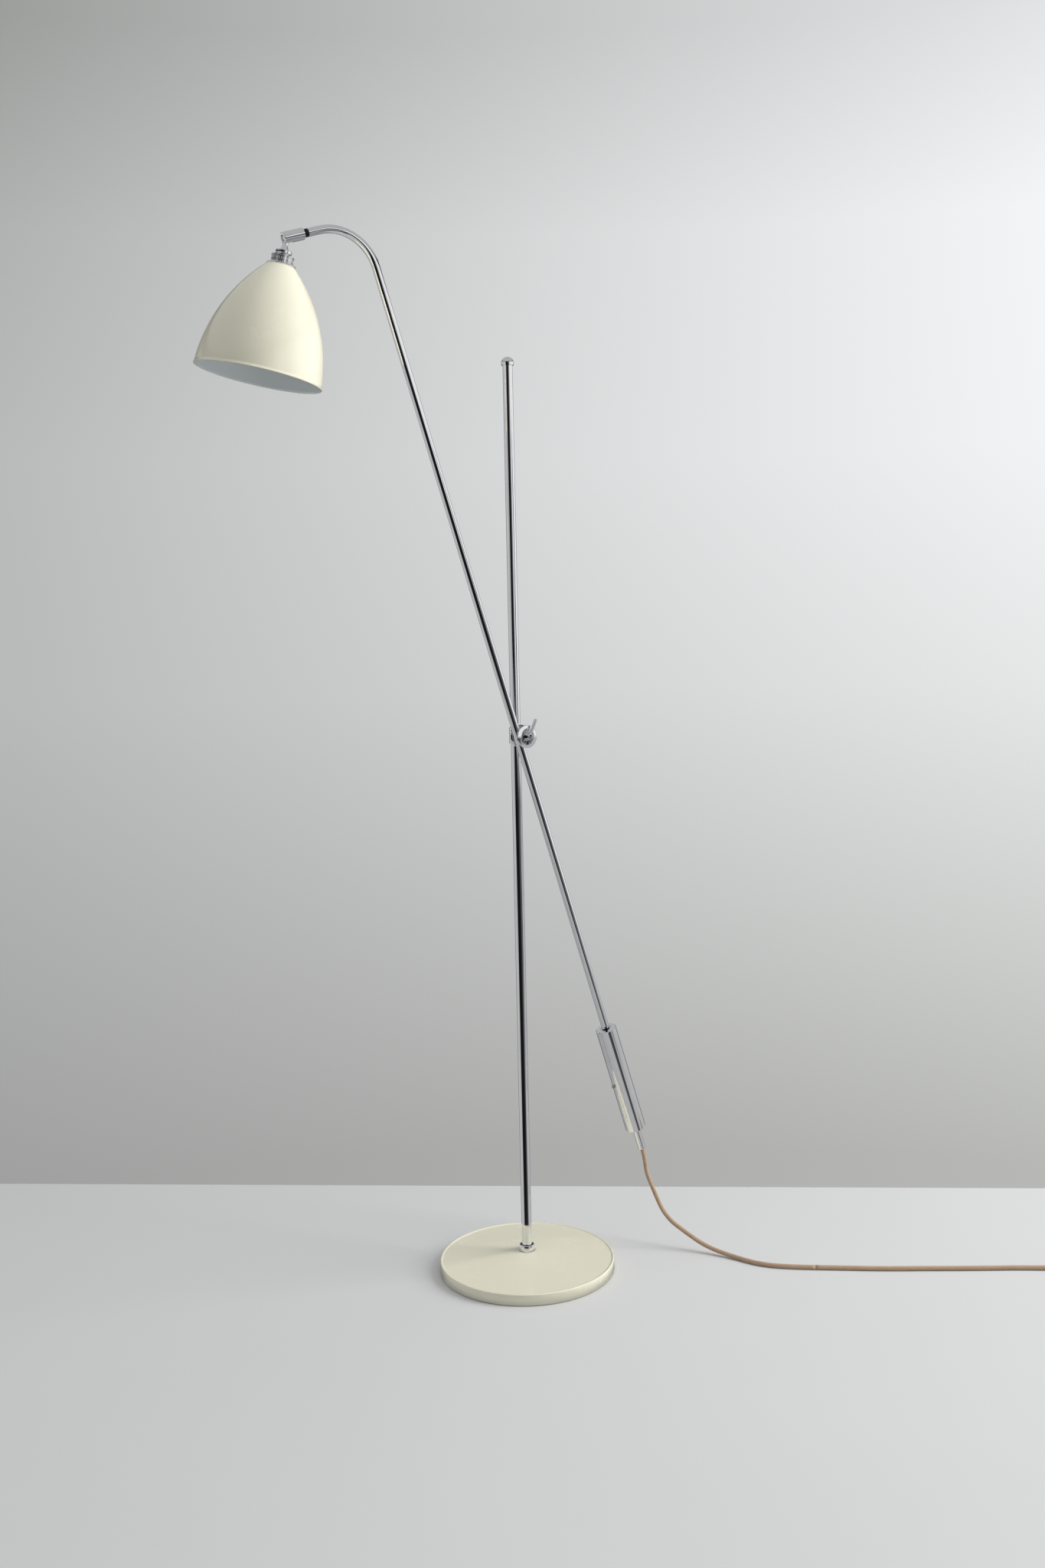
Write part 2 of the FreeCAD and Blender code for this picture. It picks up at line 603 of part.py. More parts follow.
SPRING_DISCS = 6
KNUCKLE_OUT = S.ball_radius + S.knuckle_past_ball
NIPPLE_START = -(S.knuckle_in + S.face_gap + S.ferrule_long)


def make_knuckle():
    inlet, ball_bore = S.nipple_radius + S.run_play, S.ball_radius + S.ball_play
    spigot_end = -S.knuckle_in + S.nipple_spigot
    bore = S.wire_bore + S.gland_play
    collar_end = -S.knuckle_in - S.face_gap
    radius, ferrule, edge = S.nipple_radius - S.run_play, S.ferrule_radius, S.ferrule_edge
    plug_start = NIPPLE_START - S.nipple_plug + S.nipple_clear
    turned("end_nipple", [
        (bore, plug_start), (radius, plug_start), (radius, NIPPLE_START),
        (ferrule - edge, NIPPLE_START), (ferrule, NIPPLE_START + edge), (ferrule, collar_end - edge),
        (ferrule - edge, collar_end), (radius, collar_end), (radius, spigot_end), (bore, spigot_end)],
        KNUCKLE)
    washer("nipple_clip", S.clip_radius, S.nipple_radius - S.clip_bite, spigot_end,
           S.clip_thick, KNUCKLE)
    edge, outer, mouth = S.knuckle_edge, ball_bore + S.knuckle_wall, S.ball_radius - S.mouth_grip
    step = spigot_end - S.face_gap
    body = revolved("BarrelTurning", [
        (inlet, -S.knuckle_in), (outer - edge, -S.knuckle_in), (outer, -S.knuckle_in + edge),
        (outer, KNUCKLE_OUT - edge), (outer - edge, KNUCKLE_OUT), (mouth, KNUCKLE_OUT),
        (mouth, KNUCKLE_OUT - S.mouth_lip),
        (ball_bore, KNUCKLE_OUT - S.mouth_lip - S.mouth_bevel), (ball_bore, step), (inlet, step)])
    half = S.stem_radius + S.stem_play
    slot = block(outer + S.slot_rise, 2 * half, S.slot_back + KNUCKLE_OUT, x=-outer, y=-half,
                 z=-S.slot_back)
    subpart("knuckle_barrel", cut(body, slot), KNUCKLE)
    seat_face = -root(S.ball_radius * S.ball_radius - S.seat_inner * S.seat_inner) - S.run_play
    washer("ball_seat", ball_bore - S.run_play, S.seat_inner, seat_face - S.seat_thick,
           S.seat_thick, KNUCKLE)
    # disc springs stacked rim to rim and bore to bore
    low, high = spigot_end + S.clip_thick, seat_face - S.seat_thick
    step = (high - low - S.spring_thick) / SPRING_DISCS
    rims = [(ball_bore - S.ball_play if i % 2 else S.spring_inner, low + step * i)
            for i in range(SPRING_DISCS + 1)]
    turned("seat_spring", rims + [(r, z + S.spring_thick) for r, z in reversed(rims)], KNUCKLE)


# ---- lamp head ----

SHADE_TOP = S.ring_start + S.ring_high + S.flange_high
# the bulb's side between its neck and its globe: this share of its radius, this far along
WAIST_WIDE, WAIST_AT = 0.70, 0.42


def make_holder():
    ball, neck, bore = S.ball_radius, S.stem_radius, S.wire_bore
    back = -root(ball * ball - bore * bore)
    front = root(ball * ball - neck * neck)
    thread_end = S.ring_start
    turned("swivel_stem", [
        (bore, back), (ball, 0, "via"), (neck, front), (neck, S.flare_start),
        (S.flare_radius, S.dome_start), (S.stem_thread, S.dome_start), (S.stem_thread, thread_end),
        (bore, thread_end)], HEAD)
    dome_end, r = S.dome_start + S.dome_high, S.dome_round
    turned("holder_dome", [
        (S.stem_thread + S.run_play, S.dome_start), (S.dome_radius - r, S.dome_start),
        (S.dome_radius - r * ROUND_IN, S.dome_start + r * ROUND_IN, "via"), (S.dome_radius, S.dome_start + r),
        (S.dome_radius, dome_end - S.dome_edge), (S.dome_radius - S.dome_edge, dome_end),
        (S.stem_thread + S.run_play, dome_end)], HEAD)
    shell, wall = S.holder_radius, S.holder_wall
    turned("lamp_holder", [
        (S.stem_thread + S.run_play, dome_end), (S.neck_radius, dome_end),
        (S.neck_radius, S.ring_start + wall), (shell, S.ring_start + wall), (shell, S.holder_end),
        (shell - wall, S.holder_end), (shell - wall, S.holder_floor), (bore, S.holder_floor),
        (bore, S.ring_start), (S.stem_thread + S.run_play, S.ring_start)], HEAD)
    hole = shell + S.run_play
    lip = S.ring_radius + S.ring_lip
    ring_end = S.ring_start + S.ring_high
    turned("shade_ring", [
        (S.neck_radius + S.run_play, S.ring_start), (lip - S.ring_edge, S.ring_start),
        (lip, S.ring_start + S.ring_edge), (lip, S.ring_start + S.ring_lip_high),
        (S.ring_radius, S.ring_start + S.ring_lip_high + S.ring_slope),
        (S.ring_radius, ring_end), (hole, ring_end), (hole, S.ring_start + wall - S.run_play),
        (S.neck_radius + S.run_play, S.ring_start + wall - S.run_play)], HEAD)
    end, middle = ring_end + S.flange_high, ring_end + S.flange_high / 2
    turned("shade_flange", [
        (hole, ring_end), (S.flange_radius - S.flange_high / 2, ring_end),
        (S.flange_radius, middle, "via"), (S.flange_radius - S.flange_high / 2, end),
        (hole, end)], HEAD)
    washer("shade_nut", S.nut_radius, hole, SHADE_TOP + S.shade_wall, S.nut_high, HEAD)


def make_shade():
    wall, long = S.shade_wall, S.shade_long
    middle, rim = SHADE_TOP + long / 2, SHADE_TOP + long
    bead = S.shade_bead
    turned("shade", [
        (S.holder_radius + S.run_play, SHADE_TOP), (S.shade_top_radius, SHADE_TOP),
        (S.shade_middle_radius, middle, "via"), (S.shade_rim_radius - bead / 2, rim - 2 * bead),
        (S.shade_rim_radius + bead / 2, rim - bead, "via"), (S.shade_rim_radius - bead / 2, rim),
        (S.shade_rim_radius - wall, rim),
        (S.shade_middle_radius - wall, middle + wall / 2, "via"),
        (S.shade_top_radius - wall / 2, SHADE_TOP + wall), (S.holder_radius + S.run_play, SHADE_TOP + wall)],
        HEAD)


def make_bulb():
    floor, cap, neck = S.holder_floor, S.cap_shell_radius, S.bulb_neck
    tip_start = floor + S.contact_high
    cap_start = tip_start + S.tip_high
    washer("centre_contact", S.contact_radius, 0, floor, S.contact_high, HEAD)
    turned("bulb_cap", [
        (0, tip_start), (S.tip_radius, tip_start), (S.tip_radius + S.tip_slope, cap_start),
        (cap, cap_start + S.cap_shoulder),
        (cap, S.holder_end), (0, S.holder_end)], HEAD)
    start, r, wall = S.holder_end, S.bulb_radius, S.bulb_wall
    end = start + S.bulb_long
    centre = end - r
    lean = r * HALF_ROOT
    waist, waist_height = r * WAIST_WIDE, start + (centre - start) * WAIST_AT
    turned("bulb_glass", [
        (neck, start), (waist, waist_height, "via"), (r, centre),
        (lean, centre + lean, "via"), (0, end), (0, end - wall),
        (lean - wall * HALF_ROOT, centre + lean - wall * HALF_ROOT, "via"), (r - wall, centre),
        (waist - wall, waist_height, "via"), (neck - wall, start)], HEAD)


# ---- lead ----

# the hanging stretch: from the arm's end to where it meets the floor, then over the floor
DROP = [(220.0, -24.6, 139.4), (219.0, -29.8, 116.0), (224.1, -39.3, 92.4), (234.9, -57.7, 47.6),
        (254.9, -92.7, 25.2), (271.7, -121.1, 9.6), (291.0, -162.0, 3.5), (309.0, -213.0, 3.5),
        (345.0, -249.0, 3.5)]
MEETING = (372.0, -269.5, 3.5)
RUN = [(399.0, -290.0, 3.5), (452.0, -331.0, 3.5), (508.0, -369.0, 3.5), (571.0, -412.5, 3.5),
       (633.0, -453.0, 3.5)]
# where the put-away length lies: the lead's heading, and the switch's near end
STORE_START = Vector(690.0, -494.5, 0)
STORE_HEADING = -34.9
SWITCH_TO_COIL = 38.0
LEAD_BEFORE_SWITCH = 30.0
LEAD_BEFORE_PLUG = 27.0
# how far round the coil's end and its strap lie
TAIL_TURN = 34.9
TIE_TURN = 60.0


def store_frame():
    """X along the lead's heading, origin at the switch's near end on the floor."""
    return frame_at(STORE_START.x, STORE_START.y, 0, Rotation(Z_AXIS, STORE_HEADING))


def make_lead():
    exit_point = ARM.multVec(Vector(-S.arm_offset.value, 0, -S.arm_below.value))
    radius = S.flex_radius.value
    floor = radius
    drop = [exit_point] + [Vector(*p) for p in DROP] + [Vector(*MEETING)]
    store = store_frame()
    entry = store.multVec(Vector(-S.lead_gap.value, 0, S.switch_entry.value))
    before = store.multVec(Vector(-LEAD_BEFORE_SWITCH, 0, floor))
    run = [Vector(*MEETING)] + [Vector(*p) for p in RUN] + [before, entry]
    for label, points in (("flex_drop", drop), ("flex_run", run)):
        wire, radii = route_wire(points)
        print(label, f"{wire.Length:.0f} mm, arcs", [round(r) for r in radii])
        shaped(label, swept(wire, radius))
    outer = S.coil_radius + S.coil_wide / 2
    turn_radius = (S.coil_radius + S.coil_wide / 2 - S.flex_radius).value
    coil = store * frame_at(S.switch_long.value + SWITCH_TO_COIL, turn_radius, 0)
    washer("flex_coil", outer, S.coil_radius - S.coil_wide / 2, 0, S.coil_high, coil)
    clear = math.sqrt(outer.value ** 2 - (turn_radius - radius) ** 2) + S.lead_gap.value
    link = [store.multVec(Vector(S.switch_long.value + S.lead_gap.value, 0, S.switch_entry.value)),
            coil.multVec(Vector(-clear, -turn_radius, floor))]
    relief = clear + LEAD_BEFORE_PLUG
    level = S.plug_high.value / 2
    leaving = coil * frame_at(0, 0, 0, Rotation(Z_AXIS, TAIL_TURN))
    tail = [leaving.multVec(Vector(turn_radius, clear, level)),
            leaving.multVec(Vector(turn_radius, relief, level))]
    for label, points in (("flex_link", link), ("flex_tail", tail)):
        wire, _ = route_wire(points)
        shaped(label, swept(wire, radius))
    make_tie(coil, outer)
    make_switch(store)
    make_plug(leaving * frame_at(turn_radius, relief + S.lead_gap.value, 0))


def make_tie(coil, outer):
    """A strap over the coil's turns, down both sides to the floor."""
    thick, wide = S.tie_thick, S.tie_wide
    gap = S.lead_gap
    inner = S.coil_radius - S.coil_wide / 2
    high = S.coil_high + gap + thick
    strap = cut(
        block(wide, S.coil_wide + 2 * gap + 2 * thick, high, x=-wide / 2, y=inner - gap - thick),
        block(wide, S.coil_wide + 2 * gap, S.coil_high + gap, x=-wide / 2, y=inner - gap))
    subpart("coil_tie", strap, coil * frame_at(0, 0, 0, Rotation(Z_AXIS, TIE_TURN)))


JUST_OFF_FLOOR = 0.1
SAME_PLACE = 0.01


def soften(thing, radius, chosen):
    """Rounds the chosen edges of a finished sub-part."""
    doc.recompute()
    edge = doc.addObject("Part::Fillet", "Round")
    edge.Base = thing
    edge.Edges = [(i, radius.value, radius.value)
                  for i, e in enumerate(thing.Shape.Edges, start=1) if chosen(e)]
    return edge


def make_switch(store):
    """The in-line foot switch: a flat-bottomed housing with a push button in its top."""
    long, wide, high = S.switch_long, S.switch_wide, S.switch_high
    play = S.button_play
    housing = soften(block(long, wide, high, y=-wide / 2), S.switch_round,
                     lambda e: e.BoundBox.ZMin > JUST_OFF_FLOOR)
    mouth = block(S.button_long + 2 * play, S.button_wide + 2 * play, S.button_sink + play,
                  x=(long - S.button_long) / 2 - play, y=-S.button_wide / 2 - play,
                  z=high - S.button_sink - play)
    subpart("switch_housing", cut(housing, mouth), store)
    button = soften(
        block(S.button_long, S.button_wide, S.button_sink,
              x=(long - S.button_long) / 2, y=-S.button_wide / 2,
              z=high - S.button_sink + S.button_stand),
        S.button_edge, lambda e: e.BoundBox.ZMin > S.switch_high.value)
    subpart("switch_button", button, store)


def make_plug(place):
    """A flat two-pin plug lying on its side, its lead coming in through a tapered relief."""
    lead = place * frame_at(0, 0, S.plug_high.value / 2, Rotation(X_AXIS, -QUARTER))
    turned("plug_relief", [
        (0, 0), (S.relief_small, 0), (S.relief_large, S.relief_long), (0, S.relief_long)], lead)
    start = S.relief_long
    end = start + S.plug_long
    shoulder = start + S.plug_taper
    half, nose = S.plug_wide / 2, S.plug_nose / 2
    body = padded_outline("plug_body", [
        (-nose, start), (nose, start), (half, shoulder), (half, end), (-half, end),
        (-half, shoulder)], S.plug_high, place)
    names = [f"Edge{i}" for i, e in enumerate(body.Shape.Edges, start=1)
             if abs(e.BoundBox.YMax - e.BoundBox.YMin) > 0 and not on_face(e, body, place, end)]
    pad = body.Tip
    edge = body.newObject("PartDesign::Fillet", "Round")
    edge.Base = (pad, names)
    bind(edge, Radius=S.plug_round)
    body.Tip = edge
    pin = Rotation(X_AXIS, -QUARTER)
    subpart("plug_pins", group(*[
        rod(S.pin_radius, S.pin_long, x=side * S.pin_spread, y=end, z=S.plug_high / 2, rotation=pin)
        for side in (-1, 1)]), place)


def on_face(edge, body, place, end):
    """True for an edge on the plug's pin face."""
    points = [place.inverse().multVec(v.Point) for v in edge.Vertexes]
    return all(abs(p.y - end.value) < SAME_PLACE for p in points)


# ---- making and writing ----

def build():
    make_base()
    make_pole()
    make_carriage()
    make_clamp_cap()
    make_lever()
    make_arm()
    make_counterweight()
    make_knuckle()
    make_holder()
    make_shade()
    make_bulb()
    make_lead()
    doc.recompute()


def check():
    for thing in doc.Objects:
        if "Invalid" in thing.State or "Error" in thing.State:
            raise RuntimeError(f"{thing.Label} failed: {thing.State}")
    for thing in SUBPARTS:
        shape = thing.Shape
        if shape.isNull() or not shape.isValid() or not shape.Solids:
            raise RuntimeError(f"{thing.Label} has no sound solid")


def write():
    os.makedirs("parts", exist_ok=True)
    for thing in SUBPARTS:
        thing.Shape.exportStep(f"parts/{thing.Label}.step")
    print(len(SUBPARTS), "sub-parts written")


build()
check()
write()
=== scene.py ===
"""Looks for the adjustable arm floor lamp: chrome-plated tubes, stove-enamelled base and shade, and a
cloth-covered lead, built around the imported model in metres."""

import json
import math

import bmesh
import bpy
from mathutils import Matrix, Vector


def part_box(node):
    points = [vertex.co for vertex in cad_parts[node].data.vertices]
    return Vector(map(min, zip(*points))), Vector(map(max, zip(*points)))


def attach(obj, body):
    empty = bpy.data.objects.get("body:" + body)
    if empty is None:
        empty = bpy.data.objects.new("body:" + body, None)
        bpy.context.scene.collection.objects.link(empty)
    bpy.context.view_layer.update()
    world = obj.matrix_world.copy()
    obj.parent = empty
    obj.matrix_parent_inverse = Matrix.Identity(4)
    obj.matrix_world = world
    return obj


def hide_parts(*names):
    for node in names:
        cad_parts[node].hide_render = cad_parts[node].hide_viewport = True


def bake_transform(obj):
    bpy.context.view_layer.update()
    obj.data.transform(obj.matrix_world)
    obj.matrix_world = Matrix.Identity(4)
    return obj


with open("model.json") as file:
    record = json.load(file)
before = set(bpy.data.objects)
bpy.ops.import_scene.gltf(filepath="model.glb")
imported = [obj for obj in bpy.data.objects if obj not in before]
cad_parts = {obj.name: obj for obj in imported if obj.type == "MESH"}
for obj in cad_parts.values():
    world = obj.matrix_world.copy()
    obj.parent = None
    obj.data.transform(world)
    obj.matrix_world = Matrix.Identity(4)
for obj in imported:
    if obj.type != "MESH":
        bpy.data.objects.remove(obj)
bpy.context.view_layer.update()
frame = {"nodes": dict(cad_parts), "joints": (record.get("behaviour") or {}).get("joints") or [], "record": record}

MM = 0.001
UP = Vector((0, 0, 1))
RING = 192  # faces round a large turned piece
HOSE_FACES = 20  # faces round the lead
SHARP = math.radians(32.0)  # an edge that turns more than this stays crisp
SAME_SPOT = 1e-6  # metres within which two points are one
FULL = 2 * math.pi
USUAL = (0.3, 0.7)  # most of a noise's values fall between these


# ---- frames, read from the model's own joints ----

def joint(name):
    """A joint's row in the record."""
    return next(j for j in frame["joints"] if j["name"] == name)


def basis(origin, along, across):
    """A frame with its Z along one direction and its X as near as it can be to another."""
    z = Vector(along).normalized()
    y = z.cross(Vector(across)).normalized()
    x = y.cross(z)
    rows = Matrix((x, y, z)).transposed().to_4x4()
    rows.translation = Vector(origin)
    return rows


HEAD_ANGLE = math.radians(60.7)  # from the knuckle's barrel to the shade's own axis
CLAMP_HEIGHT = joint("arm_tilt")["pos_m"][2]
ARM_SIDE = joint("arm_tilt")["pos_m"][1]
ARM_UP = Vector(joint("counterweight_slide")["axis"])
ARM_OUT = Vector(joint("head_roll")["axis"])
PIVOT = Vector(joint("head_roll")["pos_m"])
TILT_AXIS = Vector(joint("shade_tilt")["axis"])
HEAD_DOWN = Matrix.Rotation(HEAD_ANGLE, 3, TILT_AXIS) @ ARM_OUT

STAND = Matrix.Identity(4)
ARM = basis((0, ARM_SIDE, CLAMP_HEIGHT), ARM_UP, -ARM_OUT)
HEAD = basis(PIVOT, HEAD_DOWN, ARM_OUT)


# ---- materials ----

def linear(text):
    """An sRGB hex colour as the linear values that a shader takes."""
    parts = [int(text[i:i + 2], 16) / 255 for i in (1, 3, 5)]
    return [c / 12.92 if c <= 0.04045 else ((c + 0.055) / 1.055) ** 2.4 for c in parts] + [1.0]


class Tree:
    """A node tree to which nodes are added with their settings and links in one call."""

    def __init__(self, tree):
        self.tree = tree

    def add(self, kind, links=(), **settings):
        """A new node. Each named or numbered input takes a socket's output or a plain value."""
        node = self.tree.nodes.new(kind)
        for name, value in settings.items():
            setattr(node, name, value)
        for socket, source in dict(links).items():
            target = node.inputs[socket]
            if isinstance(source, bpy.types.NodeSocket):
                self.tree.links.new(source, target)
            else:
                target.default_value = source
        return node

    def link(self, source, target):
        self.tree.links.new(source, target)


def material(name):
    """A new material, its tree, and its Principled shader."""
    mat = bpy.data.materials.new(name)
    mat.use_nodes = True
    return mat, Tree(mat.node_tree), mat.node_tree.nodes["Principled BSDF"]


def ramp(tree, source, low, high, start=0.0, stop=1.0):
    """A value moved from one range to another and held inside it."""
    return tree.add("ShaderNodeMapRange", {
        "Value": source, "From Min": low, "From Max": high, "To Min": start, "To Max": stop}).outputs[0]


def mottle(tree, size, detail=3.0, where=None):
    """Soft noise whose spots are about one size, in metres."""
    place = where or tree.add("ShaderNodeTexCoord").outputs["Object"]
    return tree.add("ShaderNodeTexNoise", {
        "Vector": place, "Scale": 1 / size, "Detail": detail, "Roughness": 0.55}).outputs["Fac"]


def mixed(tree, amount, first, second):
    """A colour between two others."""
    return tree.add("ShaderNodeMix", {0: amount, 6: first, 7: second}, data_type="RGBA").outputs[2]


def computed(tree, operation, *values):
    """One Math node's result."""
    return tree.add("ShaderNodeMath", dict(enumerate(values)), operation=operation).outputs[0]


def share_along(tree, vector, way):
    """How far a vector reaches along a fixed way."""
    return tree.add("ShaderNodeVectorMath", {0: vector, 1: way}, operation="DOT_PRODUCT").outputs["Value"]


def either(tree, choice, first, second):
    """One shader or the other, as a value of 0 or 1 says."""
    return tree.add("ShaderNodeMixShader", {0: choice, 1: first, 2: second}).outputs[0]


def bumped(tree, shader, height, depth, strength):
    """Relief of one depth, in metres, on a shader's normal."""
    bump = tree.add("ShaderNodeBump", {"Height": height, "Strength": strength, "Distance": depth})
    tree.link(bump.outputs[0], shader.inputs["Normal"])


def chrome_plate():
    """Bright chromium plate over polished steel: a mirror with faint polishing haze and finger marks."""
    mat, tree, shader = material("chrome_plate")
    haze = mottle(tree, 18 * MM)
    marks = mottle(tree, 1.6 * MM, 4.0)
    shader.inputs["Metallic"].default_value = 1.0
    tree.link(mixed(tree, haze, linear("#DCDDDF"), linear("#EDEDEE")), shader.inputs["Base Color"])
    plain = ramp(tree, haze, *USUAL, 0.03, 0.06)
    touched = ramp(tree, marks, 0.45, 0.75, 0.0, 0.02)
    tree.link(computed(tree, "ADD", plain, touched), shader.inputs["Roughness"])
    return mat


def satin_plate():
    """Nickel plate on turned brass, a little duller than the tubes."""
    mat, tree, shader = material("satin_nickel")
    haze = mottle(tree, 6 * MM)
    shader.inputs["Metallic"].default_value = 1.0
    tree.link(mixed(tree, haze, linear("#DEDEDF"), linear("#F0F0F1")), shader.inputs["Base Color"])
    tree.link(ramp(tree, haze, *USUAL, 0.08, 0.14), shader.inputs["Roughness"])
    return mat


def enamel(name, colour, deep, rough):
    """Stove enamel on spun steel: thick gloss with a faint orange peel, a few mm from crest to crest."""
    mat, tree, shader = material(name)
    cloud = mottle(tree, 45 * MM)
    peel = mottle(tree, 2.6 * MM, 2.0)
    tree.link(mixed(tree, cloud, linear(deep), linear(colour)), shader.inputs["Base Color"])
    tree.link(ramp(tree, cloud, *USUAL, rough, rough + 0.04), shader.inputs["Roughness"])
    shader.inputs["IOR"].default_value = 1.5
    shader.inputs["Coat Weight"].default_value = 0.5
    shader.inputs["Coat Roughness"].default_value = 0.08
    bumped(tree, shader, peel, 0.012 * MM, 0.2)
    return mat


def braid(name, light, dark):
    """Braided cotton over the lead: two sets of threads that cross, in the piece's own UV map, whose U
    goes once round and whose V runs along it in metres. The threads are drawn a little coarse so that
    they show."""
    threads_round, thread_pitch = 8, 2.4 * MM
    mat, tree, shader = material(name)
    place = tree.add("ShaderNodeSeparateXYZ", {0: tree.add("ShaderNodeUVMap").outputs[0]}).outputs
    round_turns = computed(tree, "MULTIPLY", place[0], threads_round * FULL)
    along_turns = computed(tree, "MULTIPLY", place[1], FULL / thread_pitch)
    strands = [computed(tree, "SINE", computed(tree, crossing, along_turns, round_turns))
               for crossing in ("ADD", "SUBTRACT")]
    crest = computed(tree, "MAXIMUM", *strands)
    height = ramp(tree, crest, -0.6, 1.0)
    fuzz = mottle(tree, 0.5 * MM, 4.0)
    tone = mixed(tree, mottle(tree, 9 * MM), linear(dark), linear(light))
    # painted shade: where the braid's relief is low, between the threads, the tone turns up to 62 % of the way
    # towards dark brown #6E5A48
    shaded = mixed(tree, ramp(tree, height, 0.0, 0.8, 0.62, 0.0), tone, linear("#6E5A48"))
    tree.link(shaded, shader.inputs["Base Color"])
    shader.inputs["Roughness"].default_value = 0.88
    shader.inputs["Sheen Weight"].default_value = 0.35
    shader.inputs["Sheen Roughness"].default_value = 0.5
    bumped(tree, shader, computed(tree, "MULTIPLY_ADD", height, fuzz, 0.4), 0.18 * MM, 0.7)
    return mat


def moulded(name, colour, deep, rough, grain=0.35):
    """Injection-moulded plastic: spark-eroded grain, with painted shade that makes it slightly darker in its
    hollows.
    """
    mat, tree, shader = material(name)
    spots = mottle(tree, grain * MM, 2.0)
    # painted shade: the grain's low spots, the hollows of its relief, take the darker second colour
    tree.link(mixed(tree, spots, linear(deep), linear(colour)), shader.inputs["Base Color"])
    tree.link(ramp(tree, spots, 0.35, 0.65, rough, rough + 0.12), shader.inputs["Roughness"])
    shader.inputs["IOR"].default_value = 1.49
    bumped(tree, shader, spots, 0.03 * MM, 0.5)
    return mat


def turned_metal(name, colour, deep, rough):
    """Plain turned metal with fine tool marks and patches of handling."""
    mat, tree, shader = material(name)
    patches = mottle(tree, 7 * MM, 4.0)
    shader.inputs["Metallic"].default_value = 1.0
    tree.link(mixed(tree, patches, linear(deep), linear(colour)), shader.inputs["Base Color"])
    tree.link(ramp(tree, patches, *USUAL, rough, rough + 0.15), shader.inputs["Roughness"])
    bumped(tree, shader, mottle(tree, 0.4 * MM), 0.012 * MM, 0.5)
    return mat


def cast_iron():
    """Sand-cast iron: dark, pitted and matt."""
    mat, tree, shader = material("cast_iron")
    pits = mottle(tree, 1.5 * MM, 5.0)
    shader.inputs["Metallic"].default_value = 0.6
    tree.link(mixed(tree, pits, linear("#1E1E1F"), linear("#3C3B3A")), shader.inputs["Base Color"])
    shader.inputs["Roughness"].default_value = 0.72
    bumped(tree, shader, pits, 0.15 * MM, 0.8)
    return mat


def opal_glass():
    """Acid-frosted bulb glass: milky, with a soft sheen and a little light through it."""
    mat, tree, shader = material("frosted_bulb_glass")
    cloud = mottle(tree, 12 * MM)
    tree.link(mixed(tree, cloud, linear("#EDEAE2"), linear("#FAF8F2")), shader.inputs["Base Color"])
    tree.link(ramp(tree, cloud, *USUAL, 0.28, 0.36), shader.inputs["Roughness"])
    shader.inputs["IOR"].default_value = 1.46
    shader.inputs["Transmission Weight"].default_value = 0.35
    return mat


CHROME = chrome_plate()
NICKEL = satin_plate()
CREAM = enamel("cream_stove_enamel", "#EBE7D2", "#E9E5CF", 0.24)
WHITE = enamel("white_reflector_enamel", "#DFE4E4", "#D6DCDC", 0.42)
CLOTH = braid("braided_cotton", "#C6AB8E", "#B0947A")
# for moulded(), each second colour is the painted shade in the grain's hollows
TAN_PLASTIC = moulded("tan_moulded_nylon", "#A98C6A", "#967A5B", 0.42)
BUTTON_PLASTIC = moulded("brown_polished_urea", "#5A4636", "#4C3A2C", 0.22)
BLACK_STRAP = moulded("black_nylon_strap", "#252526", "#1B1B1C", 0.5)
PAD_RUBBER = moulded("black_pad_rubber", "#2B2B2C", "#1F1F20", 0.75, 0.8)
LINER = moulded("white_acetal", "#DAD6CB", "#CCC8BC", 0.4)
ZINC = turned_metal("zinc_plated_steel", "#B4B8BC", "#9CA1A6", 0.3)
STEEL = turned_metal("turned_steel", "#BDBDBE", "#A3A4A6", 0.24)
BRASS = turned_metal("turned_brass", "#D2B06A", "#B8934F", 0.22)
DARK_BRASS = turned_metal("blackened_brass", "#3A3834", "#262523", 0.3)
ALUMINIUM = turned_metal("rolled_aluminium", "#C9CACC", "#B5B6B9", 0.28)
IRON = cast_iron()
GLASS = opal_glass()


# ---- making meshes ----

def finish_mesh(name, mesh_maker, paint, body, nodes):
    """Makes a piece from a bmesh, paints it, and sets it on its body in place of its CAD nodes."""
    bm = bmesh.new()
    mesh_maker(bm)
    bmesh.ops.remove_doubles(bm, verts=bm.verts, dist=SAME_SPOT)
    bmesh.ops.recalc_face_normals(bm, faces=bm.faces)
    mesh = bpy.data.meshes.new(name)
    bm.to_mesh(mesh)
    bm.free()
    return settle(bpy.data.objects.new(name, mesh), paint, body, nodes)


def settle(piece, paint, body, nodes):
    """Puts a piece in the scene with its paint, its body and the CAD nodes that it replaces."""
    bpy.context.scene.collection.objects.link(piece)
    for number, layer in enumerate(paint if isinstance(paint, tuple) else (paint,)):
        if number < len(piece.data.materials):
            piece.data.materials[number] = layer
        else:
            piece.data.materials.append(layer)
    piece.data.shade_smooth()
    if body:
        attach(piece, body)
    if nodes:
        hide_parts(*nodes)
    return piece


def smoothed(name, node, paint):
    """A CAD node as one joined, smooth-shaded mesh whose real edges stay crisp."""
    source = frame["nodes"][node]
    piece = source.copy()
    piece.data = source.data.copy()
    piece.name = name
    piece.parent = None
    piece.matrix_world = Matrix.Identity(4)
    for key in list(piece.keys()):
        del piece[key]
    bm = bmesh.new()
    bm.from_mesh(piece.data)
    bmesh.ops.remove_doubles(bm, verts=bm.verts, dist=2e-6)
    bmesh.ops.dissolve_degenerate(bm, edges=bm.edges, dist=1e-7)
    for edge in bm.edges:
        edge.smooth = len(edge.link_faces) == 2 and edge.calc_face_angle(0.0) < SHARP
    bm.to_mesh(piece.data)
    bm.free()
    if piece.data.has_custom_normals:
        piece.data.attributes.remove(piece.data.attributes["custom_normal"])
    piece.data.materials.clear()
    body = next(b for b, names in frame["record"]["behaviour"]["bodies"].items() if node in names)
    return settle(piece, paint, body, (node,))


